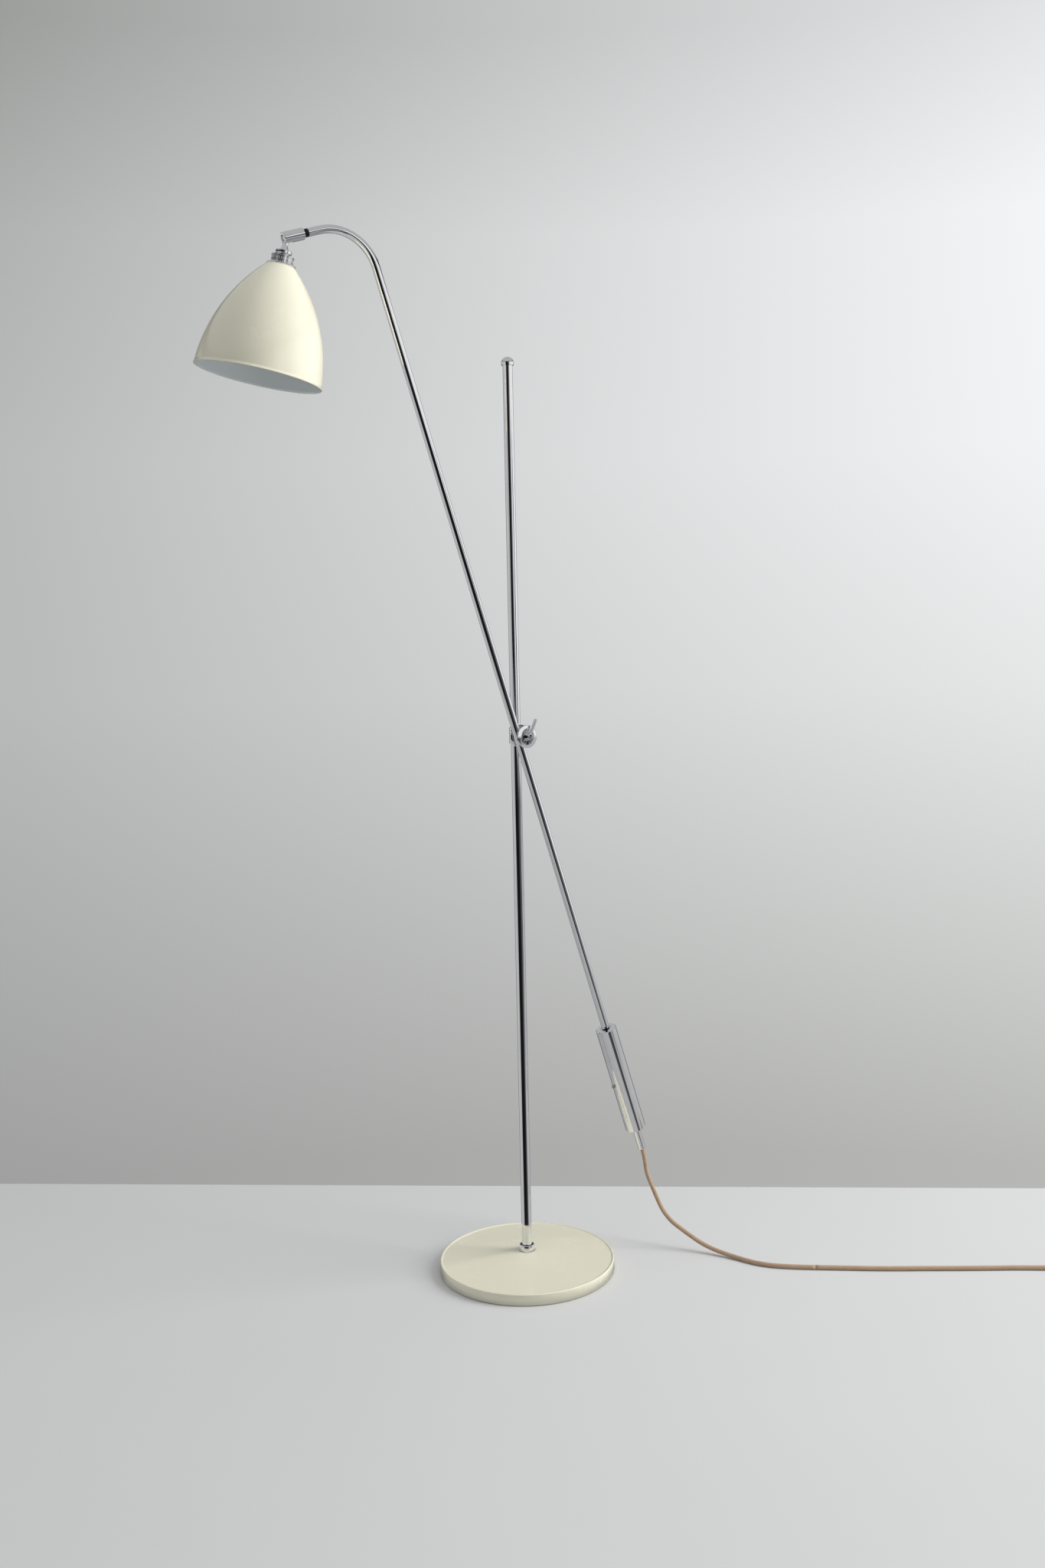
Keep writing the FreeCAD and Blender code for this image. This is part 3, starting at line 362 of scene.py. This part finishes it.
def lathe(outline, place, second_paint=()):
    """Faces of a closed (radius, height) outline in millimetres, turned about a frame's Z. Its listed
    stretches take the piece's second paint."""
    def make(bm):
        rows = []
        for radius, height in outline:
            rows.append([bm.verts.new(place @ Vector((
                radius * MM * math.cos(FULL * k / RING),
                radius * MM * math.sin(FULL * k / RING), height * MM))) for k in range(RING)])
        for stretch, (first, second) in enumerate(zip(rows, rows[1:] + rows[:1])):
            for k in range(RING):
                after = (k + 1) % RING
                face = bm.faces.new((first[k], first[after], second[after], second[k]))
                face.material_index = int(stretch in second_paint)
    return make


def arc_points(start, via, stop, count):
    """Points of the arc through three (radius, height) points, its ends included."""
    (ax, ay), (bx, by), (cx, cy) = start, via, stop
    d = 2 * (ax * (by - cy) + bx * (cy - ay) + cx * (ay - by))
    a2, b2, c2 = ax * ax + ay * ay, bx * bx + by * by, cx * cx + cy * cy
    ux = (a2 * (by - cy) + b2 * (cy - ay) + c2 * (ay - by)) / d
    uy = (a2 * (cx - bx) + b2 * (ax - cx) + c2 * (bx - ax)) / d
    first, last = math.atan2(ay - uy, ax - ux), math.atan2(cy - uy, cx - ux)
    middle = math.atan2(by - uy, bx - ux)
    sweep = (last - first) % FULL
    if (middle - first) % FULL > sweep:
        sweep -= FULL
    r = math.hypot(ax - ux, ay - uy)
    return [(ux + r * math.cos(first + sweep * k / count), uy + r * math.sin(first + sweep * k / count))
            for k in range(count + 1)]


# ---- base and pole ----

BASE_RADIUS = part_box("base_cover")[1].x / MM
BASE_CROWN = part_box("base_cover")[1].z / MM
BASE_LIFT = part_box("base_cover")[0].z / MM


def make_base_cover():
    """The spun cover: an upright side, a rolled lip round a shallow dish, and a low cone to the pole."""
    lip_top, lip_width = 18.0, 3.6
    dish, wall = 16.5, 1.6
    crown_edge, pole_hole = 16.0, 9.1
    inner_lip = BASE_RADIUS - lip_width
    lip = arc_points((BASE_RADIUS, lip_top - 1.6), (BASE_RADIUS - 0.5, lip_top - 0.45),
                     (BASE_RADIUS - 1.7, lip_top), 6)
    fall = arc_points((inner_lip + 0.8, lip_top - 0.15), (inner_lip - 0.1, dish + 0.55),
                      (inner_lip - 1.4, dish + 0.14), 6)
    outline = [(BASE_RADIUS, BASE_LIFT), *lip, *fall]
    outline += [(crown_edge, BASE_CROWN), (pole_hole, BASE_CROWN)]
    outline += [(pole_hole, BASE_CROWN - wall), (crown_edge, BASE_CROWN - wall)]
    outline += [(inner_lip, dish - wall), (BASE_RADIUS - wall, dish - wall), (BASE_RADIUS - wall, BASE_LIFT)]
    finish_mesh("cover_spinning", lathe(outline, STAND), CREAM, "stand", ("base_cover",))


SMOOTHED = [
    # piece, CAD node, finish, record's slot
    ("floor_pad", "foot_pad", PAD_RUBBER, "pad_rubber"),
    ("underside_plate", "bottom_plate", ZINC, "zinc_plate"),
    ("underside_screws", "plate_screws", ZINC, "zinc_plate"),
    ("iron_weight", "base_weight", IRON, "base_iron"),
    ("swivel_bush", "foot_bush", BRASS, "bush_brass"),
    ("foot_collar", "pole_collar", CHROME, "polished_metal"),
    ("pole", "pole_tube", CHROME, "polished_metal"),
    ("pole_plug", "pole_spigot", STEEL, "plain_steel"),
    ("pole_washer", "foot_washer", ZINC, "zinc_plate"),
    ("pole_bolt", "foot_screw", ZINC, "zinc_plate"),
    ("pole_dome", "pole_cap", CHROME, "polished_metal"),
    ("sleeve", "pole_sleeve", CHROME, "polished_metal"),
    ("sleeve_lining", "sleeve_liner", LINER, "liner_plastic"),
    ("rear_disc", "clamp_plate", CHROME, "polished_metal"),
    ("friction_washer", "friction_ring", LINER, "liner_plastic"),
    ("screw_pad", "pressure_pad", BRASS, "bush_brass"),
    ("rear_saddle", "clamp_saddle", CHROME, "polished_metal"),
    ("front_disc", "clamp_cap", CHROME, "polished_metal"),
    ("levelling_post", "clamp_spacer", STEEL, "plain_steel"),
    ("screw_shank", "clamp_screw", STEEL, "plain_steel"),
    ("screw_hub", "lever_hub", CHROME, "polished_metal"),
    ("tightening_lever", "lever_rod", CHROME, "polished_metal"),
    ("arm", "arm_tube", CHROME, "polished_metal"),
    ("lead_gland", "arm_gland", CHROME, "polished_metal"),
    ("threaded_lead", "inner_flex", CLOTH, "lead_cloth"),
    ("nipple", "end_nipple", DARK_BRASS, "aged_brass"),
    ("nipple_ring", "nipple_clip", STEEL, "plain_steel"),
    ("balance_bar", "counterweight", CHROME, "polished_metal"),
    ("balance_screw", "set_screw", STEEL, "plain_steel"),
    ("barrel", "knuckle_barrel", CHROME, "polished_metal"),
    ("ball_cup", "ball_seat", LINER, "liner_plastic"),
    ("disc_springs", "seat_spring", STEEL, "plain_steel"),
    ("stem", "swivel_stem", NICKEL, "polished_metal"),
    ("dome_cap", "holder_dome", NICKEL, "polished_metal"),
    ("bulb_holder", "lamp_holder", NICKEL, "holder_metal"),
    ("gallery_ring", "shade_ring", NICKEL, "polished_metal"),
    ("gallery_flange", "shade_flange", NICKEL, "polished_metal"),
    ("gallery_nut", "shade_nut", BRASS, "holder_metal"),
    ("holder_contact", "centre_contact", BRASS, "bright_brass"),
    ("cap_of_bulb", "bulb_cap", ALUMINIUM, "bulb_metal"),
    ("bulb", "bulb_glass", GLASS, "bulb_glass"),
    ("switch_case", "switch_housing", TAN_PLASTIC, "lead_plastic"),
    ("switch_key", "switch_button", BUTTON_PLASTIC, "button_plastic"),
    ("coil_strap", "coil_tie", BLACK_STRAP, "tie_plastic"),
    ("plug_grip", "plug_body", TAN_PLASTIC, "lead_plastic"),
    ("plug_sleeve", "plug_relief", TAN_PLASTIC, "lead_plastic"),
    ("plug_prongs", "plug_pins", BRASS, "bright_brass"),
]


# ---- shade ----

def make_shade():
    """The spun bell: one sweep of an arc from its neck to its rolled rim, cream outside, white inside."""
    top, rim, wall = 43.3, 209.8, 1.2
    hole, neck, middle, mouth = 15.06, 21.3, 76.2, 94.4
    half, roll = (top + rim) / 2, 0.8
    sweep_steps, bead_steps = 56, 8
    outside = arc_points((neck, top), (middle, half), (mouth - roll / 2, rim - 2 * roll), sweep_steps)
    bead = arc_points((mouth - roll / 2, rim - 2 * roll), (mouth + roll / 2, rim - roll),
                      (mouth - roll / 2, rim), bead_steps)[1:]
    inside = arc_points((mouth - wall, rim), (middle - wall, half + wall / 2),
                        (neck - wall / 2, top + wall), sweep_steps)
    outline = [(hole, top), *outside, *bead, *inside, (hole, top + wall)]
    painted_white = range(1 + len(outside) + len(bead), len(outline))
    finish_mesh("bell_shade", lathe(outline, HEAD, painted_white), (CREAM, WHITE), "head", ("shade",))


RIB_COUNT = 42
RIB_SIDES = 10
RIB_RADIUS = 0.5 * MM
RIB_LENGTH = 10.0 * MM
RIB_MIDDLE = 35.5 * MM  # from the ball to the ribs' middle, down the shade's axis
RIB_CIRCLE = 16.05 * MM


def ribs_in_a_circle():
    """A node group that stands round ribs side by side in a circle, with named inputs for its sizes."""
    group = bpy.data.node_groups.new("ribs_in_a_circle", "GeometryNodeTree")
    for label, kind in (("Count", "Int"), ("Circle radius", "Float"), ("Rib radius", "Float"),
                        ("Rib length", "Float"), ("Finish", "Material")):
        group.interface.new_socket(label, in_out="INPUT", socket_type="NodeSocket" + kind)
    group.interface.new_socket("Ribs", in_out="OUTPUT", socket_type="NodeSocketGeometry")
    tree = Tree(group)
    given = tree.add("NodeGroupInput").outputs
    circle = tree.add("GeometryNodeMeshCircle", {
        "Vertices": given["Count"], "Radius": given["Circle radius"]})
    rib = tree.add("GeometryNodeMeshCylinder", {
        "Vertices": RIB_SIDES, "Radius": given["Rib radius"], "Depth": given["Rib length"]})
    ribs = tree.add("GeometryNodeInstanceOnPoints", {
        "Points": circle.outputs[0], "Instance": rib.outputs[0]})
    real = tree.add("GeometryNodeRealizeInstances", {0: ribs.outputs[0]})
    painted = tree.add("GeometryNodeSetMaterial", {
        "Geometry": real.outputs[0], "Material": given["Finish"]})
    tree.add("NodeGroupOutput", {0: painted.outputs[0]})
    return group


def grown(name, group, place, sizes):
    """The plain mesh that a node group makes with the given inputs, moved to its place."""
    maker = bpy.data.objects.new(name + "_maker", bpy.data.meshes.new(name + "_maker"))
    bpy.context.scene.collection.objects.link(maker)
    modifier = maker.modifiers.new("growth", "NODES")
    modifier.node_group = group
    for item in group.interface.items_tree:
        if item.in_out == "INPUT":
            modifier[item.identifier] = sizes[item.name]
    seen = maker.evaluated_get(bpy.context.evaluated_depsgraph_get())
    mesh = bpy.data.meshes.new_from_object(seen)
    bpy.data.objects.remove(maker)
    mesh.name = name
    mesh.transform(place)
    return bpy.data.objects.new(name, mesh)


def make_ring_ribs():
    """The grip round the ring that holds the shade."""
    ribs = grown("gallery_ribs", ribs_in_a_circle(), HEAD @ Matrix.Translation((0, 0, RIB_MIDDLE)), {
        "Count": RIB_COUNT, "Circle radius": RIB_CIRCLE, "Rib radius": RIB_RADIUS,
        "Rib length": RIB_LENGTH, "Finish": NICKEL})
    settle(ribs, NICKEL, "head", ())


# ---- lead ----

LEAD_RADIUS = 3.5 * MM
FLOOR_LINE = LEAD_RADIUS
EXIT = ARM @ Vector((-10.7 * MM, 0, -734.0 * MM))
DROP = [(0.2200, -0.0246, 0.1394), (0.2190, -0.0298, 0.1160), (0.2241, -0.0393, 0.0924),
        (0.2349, -0.0577, 0.0476), (0.2549, -0.0927, 0.0252), (0.2717, -0.1211, 0.0096),
        (0.2910, -0.1620, 0.0035), (0.3090, -0.2130, 0.0035), (0.3450, -0.2490, 0.0035)]
MEETING = (0.3720, -0.2695, 0.0035)
RUN = [(0.3990, -0.2900, 0.0035), (0.4520, -0.3310, 0.0035), (0.5080, -0.3690, 0.0035),
       (0.5710, -0.4125, 0.0035), (0.6330, -0.4530, 0.0035)]
STORE = Matrix.Translation((0.690, -0.4945, 0)) @ Matrix.Rotation(math.radians(-34.9), 4, "Z")
SWITCH_LONG = 62.0 * MM
COIL_RADIUS = 46.5 * MM  # of the outermost turn's middle
COIL = STORE @ Matrix.Translation((SWITCH_LONG + 38.0 * MM, COIL_RADIUS, 0))
COIL_FLAT_TURNS = 3.0
COIL_CLIMB = 0.3
TAIL_TURN = 34.9  # degrees round the coil, from its last whole turn to where the lead leaves it
COIL_TURNS = 5.25 + TAIL_TURN / 360
COIL_PER_TURN = 16


def coil_points():
    """The put-away length: a flat spiral inwards, a climb, and a second spiral outwards on top of it."""
    pitch = 2 * LEAD_RADIUS
    inner = COIL_RADIUS - pitch * COIL_FLAT_TURNS
    points = []
    steps = round(COIL_TURNS * COIL_PER_TURN)
    for k in range(1, steps + 1):
        turns = COIL_TURNS * k / steps
        climbed = min(max((turns - COIL_FLAT_TURNS) / COIL_CLIMB, 0.0), 1.0)
        second = max(turns - COIL_FLAT_TURNS - COIL_CLIMB, 0.0)
        radius = max(COIL_RADIUS - pitch * turns, inner) + pitch * second
        angle = FULL * turns - math.pi / 2
        height = FLOOR_LINE + pitch * climbed
        points.append(COIL @ Vector((radius * math.cos(angle), radius * math.sin(angle), height)))
    return points


def run_points():
    """From the meeting point over the floor, through the switch, round the coil and to the plug."""
    through = [STORE @ Vector((x * MM, 0, z * MM)) for x, z in (
        (-30.0, 3.5), (-8.0, 5.2), (8.0, 5.6), (31.0, 5.6), (54.0, 5.6), (70.0, 4.8), (88.0, 3.5))]
    leaving = COIL @ Matrix.Rotation(math.radians(TAIL_TURN), 4, "Z")
    tail = [leaving @ Vector((x * MM, y * MM, z * MM)) for x, y, z in (
        (41.5, 15.0, 10.5), (45.5, 28.0, 8.6), (46.5, 41.0, 6.75), (46.5, 53.2, 6.75))]
    return [MEETING, *RUN, *through, *coil_points(), *tail]


def route_curve(name, points):
    """A lead's line: one smooth spline whose control points are the route's."""
    curve = bpy.data.curves.new(name, "CURVE")
    curve.dimensions = "3D"
    spline = curve.splines.new("NURBS")
    spline.points.add(len(points) - 1)
    for control, point in zip(spline.points, points):
        control.co = (*point, 1.0)
    spline.order_u = 3
    spline.use_endpoint_u = True
    spline.resolution_u = 10
    return bpy.data.objects.new(name, curve)


def line_of(curve):
    """The points that a curve passes through."""
    bpy.context.scene.collection.objects.link(curve)
    bpy.context.view_layer.update()
    mesh = bpy.data.meshes.new_from_object(curve.evaluated_get(bpy.context.evaluated_depsgraph_get()))
    points = [v.co.copy() for v in mesh.vertices]
    bpy.data.objects.remove(curve)
    bpy.data.meshes.remove(mesh)
    return [p for i, p in enumerate(points) if i == 0 or (p - points[i - 1]).length > SAME_SPOT]


def hose(name, centres):
    """The lead's round tube along a line, with U once round and V along it in metres."""
    mesh = bpy.data.meshes.new(name)
    bm = bmesh.new()
    uv = bm.loops.layers.uv.new("UVMap")
    side = (centres[1] - centres[0]).orthogonal().normalized()
    rows, along, travelled = [], [], 0.0
    for i, centre in enumerate(centres):
        ahead = (centres[min(i + 1, len(centres) - 1)] - centres[max(i - 1, 0)]).normalized()
        side = (side - ahead * side.dot(ahead)).normalized()
        other = ahead.cross(side)
        travelled += (centre - centres[i - 1]).length if i else 0.0
        along.append(travelled)
        rows.append([bm.verts.new(centre + (side * math.cos(FULL * k / HOSE_FACES)
                                            + other * math.sin(FULL * k / HOSE_FACES)) * LEAD_RADIUS)
                     for k in range(HOSE_FACES)])
    for i in range(len(rows) - 1):
        for k in range(HOSE_FACES):
            after = (k + 1) % HOSE_FACES
            face = bm.faces.new((rows[i][k], rows[i][after], rows[i + 1][after], rows[i + 1][k]))
            spots = ((k, i), (k + 1, i), (k + 1, i + 1), (k, i + 1))
            for loop, (around, step) in zip(face.loops, spots):
                loop[uv].uv = (around / HOSE_FACES, along[step])
    bm.faces.new(list(reversed(rows[0])))
    bm.faces.new(rows[-1])
    bm.to_mesh(mesh)
    bm.free()
    return bpy.data.objects.new(name, mesh)


def make_lead():
    """One lead in two lengths that meet on the floor: the first follows the arm, the second the pole."""
    drop_line = line_of(route_curve("drop_route", [EXIT, *DROP, MEETING]))
    run_line = line_of(route_curve("run_route", run_points()))
    drop = settle(hose("hanging_lead", drop_line), CLOTH, None, ("flex_drop",))
    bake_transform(drop)
    run = settle(hose("floor_lead", run_line), CLOTH, None,
                 ("flex_run", "flex_link", "flex_coil", "flex_tail"))
    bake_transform(run)


# ---- camera, lights and surroundings ----

VIEW_AHEAD = Vector((0.5299, 0.8480, 0.0)).normalized()
VIEW_RIGHT = Vector((0.8480, -0.5299, 0.0)).normalized()
EYE = Vector((-1.2946, -2.1007, 1.0528))
ROLL = math.radians(1.27)
SENSOR_HEIGHT, LENS, SHIFT = 36.0, 35.156, -0.1084
SEAM_WAY = Vector((0.5887, 0.8083, 0.0)).normalized()
SEAM = 0.350  # from the pole to the line where the floor meets the backdrop, along SEAM_WAY


def make_camera():
    """The camera in front of the lamp, turned about a degree round its own line of sight."""
    data = bpy.data.cameras.new("camera")
    data.sensor_fit = "VERTICAL"
    data.sensor_height = SENSOR_HEIGHT
    data.lens = LENS
    data.shift_y = SHIFT
    data.clip_end = 60.0
    camera = bpy.data.objects.new("camera", data)
    up = UP * math.cos(ROLL) + VIEW_RIGHT * math.sin(ROLL)
    right = VIEW_AHEAD.cross(up)
    turn = Matrix((right, up, -VIEW_AHEAD)).transposed().to_4x4()
    turn.translation = EYE
    camera.matrix_world = turn
    bpy.context.scene.collection.objects.link(camera)
    bpy.context.scene.camera = camera


# the rows hold the backdrop's painted light: brighter to the right, falling off at the top and towards the floor
WALL_ROWS = [  # height of the line of sight, then the wall's tone on the left and on the right
    (-0.33, "#9F9F9F", "#B8B9B6"),
    (-0.05, "#B8BAB9", "#E5E7E7"),
    (0.10, "#B9BBBA", "#F1F3F4"),
    (0.24, "#AFB1B0", "#F3F5F6"),
    (0.355, "#989B98", "#E1E3E4"),
]
WALL_EDGE = 0.32  # how far to the side the tones on the left and right are reached


def painted_wall_light(tree, direction):
    """The studio wall's painted light: it falls off to the left, at the top and towards the floor."""
    up = share_along(tree, direction, UP)
    side = ramp(tree, share_along(tree, direction, VIEW_RIGHT), -WALL_EDGE, WALL_EDGE)
    below, tone = None, None
    for height, left_tone, right_tone in WALL_ROWS:
        row = mixed(tree, side, linear(left_tone), linear(right_tone))
        tone = row if tone is None else mixed(tree, ramp(tree, up, below, height), tone, row)
        below = height
    return tone


def make_floor():
    """A pale floor. Past the seam it is the backdrop, which glows with painted light whose tone is laid out from
    one fixed point.
    """
    mesh = bpy.data.meshes.new("floor")
    bm = bmesh.new()
    bmesh.ops.create_grid(bm, x_segments=1, y_segments=1, size=14.0)
    bm.to_mesh(mesh)
    bm.free()
    floor = bpy.data.objects.new("floor", mesh)
    mat, tree, shader = material("pale_studio_floor")
    place = tree.add("ShaderNodeTexCoord").outputs["Object"]
    cloud = mottle(tree, 0.6, 3.0, place)
    tree.link(mixed(tree, cloud, linear("#CFCFCF"), linear("#D4D4D4")), shader.inputs["Base Color"])
    shader.inputs["Roughness"].default_value = 0.65
    past = computed(tree, "GREATER_THAN", share_along(tree, place, SEAM_WAY), SEAM)
    sight = tree.add("ShaderNodeVectorMath", {0: place, 1: EYE}, operation="SUBTRACT").outputs[0]
    way = tree.add("ShaderNodeVectorMath", {0: sight}, operation="NORMALIZE").outputs[0]
    # painted light: past the seam the floor glows with the backdrop's painted falloff of light
    glow = tree.add("ShaderNodeEmission", {"Color": painted_wall_light(tree, way)})
    seen = either(tree, past, shader.outputs[0], glow.outputs[0])
    mirrored = tree.add("ShaderNodeLightPath").outputs["Is Glossy Ray"]
    surface = either(tree, mirrored, seen, tree.add("ShaderNodeBsdfTransparent").outputs[0])
    tree.link(surface, mat.node_tree.nodes["Material Output"].inputs["Surface"])
    mesh.materials.append(mat)
    bpy.context.scene.collection.objects.link(floor)


def azimuth_band(tree, angle, stops):
    """A grey that changes with the turn, in degrees to the right of the way back to the camera."""
    band = tree.add("ShaderNodeValToRGB", {"Fac": ramp(tree, angle, -math.pi, math.pi)})
    elements = band.color_ramp.elements
    while len(elements) < len(stops):
        elements.new(0.5)
    for element, (degrees, tone) in zip(elements, stops):
        element.position = (degrees + 180) / 360
        element.color = (tone, tone, tone * 1.02, 1.0)
    return band.outputs[0]


DISC_FACES = Vector((0.5306, -0.8443, -0.080))  # where the clamp's flat face sends the line of sight
CLUTTER_OUTER = math.cos(math.radians(13))
CLUTTER_INNER = math.cos(math.radians(11))


def make_world():
    """A soft studio: a tall bright panel on the right, a dark stretch where the camera stands, pale
    walls on the left and behind. What the camera sees directly is the backdrop's painted light."""
    world = bpy.data.worlds.new("studio")
    world.use_nodes = True
    bpy.context.scene.world = world
    tree = Tree(world.node_tree)
    way = tree.add("ShaderNodeTexCoord").outputs["Generated"]
    up = share_along(tree, way, UP)
    angle = computed(tree, "ARCTAN2", share_along(tree, way, VIEW_RIGHT), share_along(tree, way, -VIEW_AHEAD))
    upper = azimuth_band(tree, angle, [
        (-180, 0.16), (-140, 0.22), (-122, 0.62), (-60, 0.55), (-36, 0.42), (-29, 0.008), (12, 0.010),
        (17, 0.22), (33, 0.26), (38, 0.95), (125, 1.0), (140, 0.35), (180, 0.16)])
    lower = azimuth_band(tree, angle, [
        (-180, 0.16), (-140, 0.22), (-122, 0.60), (-60, 0.52), (-47, 0.42), (-42, 0.008), (20, 0.010),
        (27, 0.05), (48, 0.07), (56, 0.50), (125, 0.58), (140, 0.30), (180, 0.16)])
    under = azimuth_band(tree, angle, [
        (-180, 0.40), (-60, 0.45), (0, 0.50), (40, 0.50), (47, 0.012), (78, 0.012), (88, 0.30),
        (180, 0.35)])
    walls = mixed(tree, ramp(tree, up, -0.12, -0.05), lower, upper)
    walls = mixed(tree, ramp(tree, up, 0.36, 0.39), walls, linear("#101011"))
    walls = mixed(tree, ramp(tree, up, 0.44, 0.48), walls, linear("#BBBDBD"))
    walls = mixed(tree, ramp(tree, up, -0.52, -0.47), under, walls)
    shapes = ramp(tree, mottle(tree, 0.07, 3.0, way), 0.40, 0.58)
    clutter = mixed(tree, shapes, linear("#17171B"), linear("#8E9094"))
    near_disc = ramp(tree, share_along(tree, way, DISC_FACES), CLUTTER_OUTER, CLUTTER_INNER)
    walls = mixed(tree, near_disc, walls, clutter)
    room = mixed(tree, ramp(tree, up, -0.80, -0.70), linear("#C8C8C7"), walls)
    lit = tree.add("ShaderNodeBackground", {"Color": room, "Strength": 1.0})
    # painted light: camera rays see the backdrop's painted falloff of light
    seen = tree.add("ShaderNodeBackground", {"Color": painted_wall_light(tree, way), "Strength": 1.0})
    camera_ray = tree.add("ShaderNodeLightPath").outputs["Is Camera Ray"]
    surface = either(tree, camera_ray, lit.outputs[0], seen.outputs[0])
    tree.link(surface, world.node_tree.nodes["World Output"].inputs["Surface"])


def soft_box(name, place, aim, wide, high, watts):
    """A soft light whose own reflection isn't seen: the metal mirrors the studio's panels instead."""
    data = bpy.data.lights.new(name, "AREA")
    data.shape = "RECTANGLE"
    data.size, data.size_y, data.energy = wide, high, watts
    lamp = bpy.data.objects.new(name, data)
    lamp.location = place
    lamp.rotation_euler = (Vector(aim) - Vector(place)).to_track_quat("-Z", "Y").to_euler()
    lamp.visible_glossy = False
    bpy.context.scene.collection.objects.link(lamp)


def make_lights():
    """A strong tall light on the right, a weak one overhead and a weaker one on the left."""
    foot, knee, middle = Vector((0, 0, 0)), Vector((0, 0, 0.5)), Vector((0, 0, 0.9))
    key = middle + VIEW_RIGHT * 3.6 - VIEW_AHEAD * 0.4 + UP * 1.7
    top = middle + UP * 2.4 + VIEW_RIGHT * 0.4
    fill = middle - VIEW_RIGHT * 2.4 - VIEW_AHEAD * 1.6 + UP * 0.8
    for name, place, aim, wide, high, watts in (("key_box", key, middle, 2.2, 3.2, 160),
                                                ("top_box", top, foot, 2.4, 2.4, 14),
                                                ("fill_box", fill, knee, 2.4, 2.4, 4)):
        soft_box(name, place, aim, wide, high, watts)


def make_object():
    """Every piece of the lamp."""
    make_base_cover()
    make_shade()
    make_ring_ribs()
    for piece, node, finish, slot in SMOOTHED:
        smoothed(piece, node, finish)
    make_lead()


def main():
    """Everything in the scene, in order."""
    bpy.context.scene.view_settings.view_transform = "Standard"
    make_camera()
    make_world()
    make_lights()
    make_floor()
    make_object()


main()
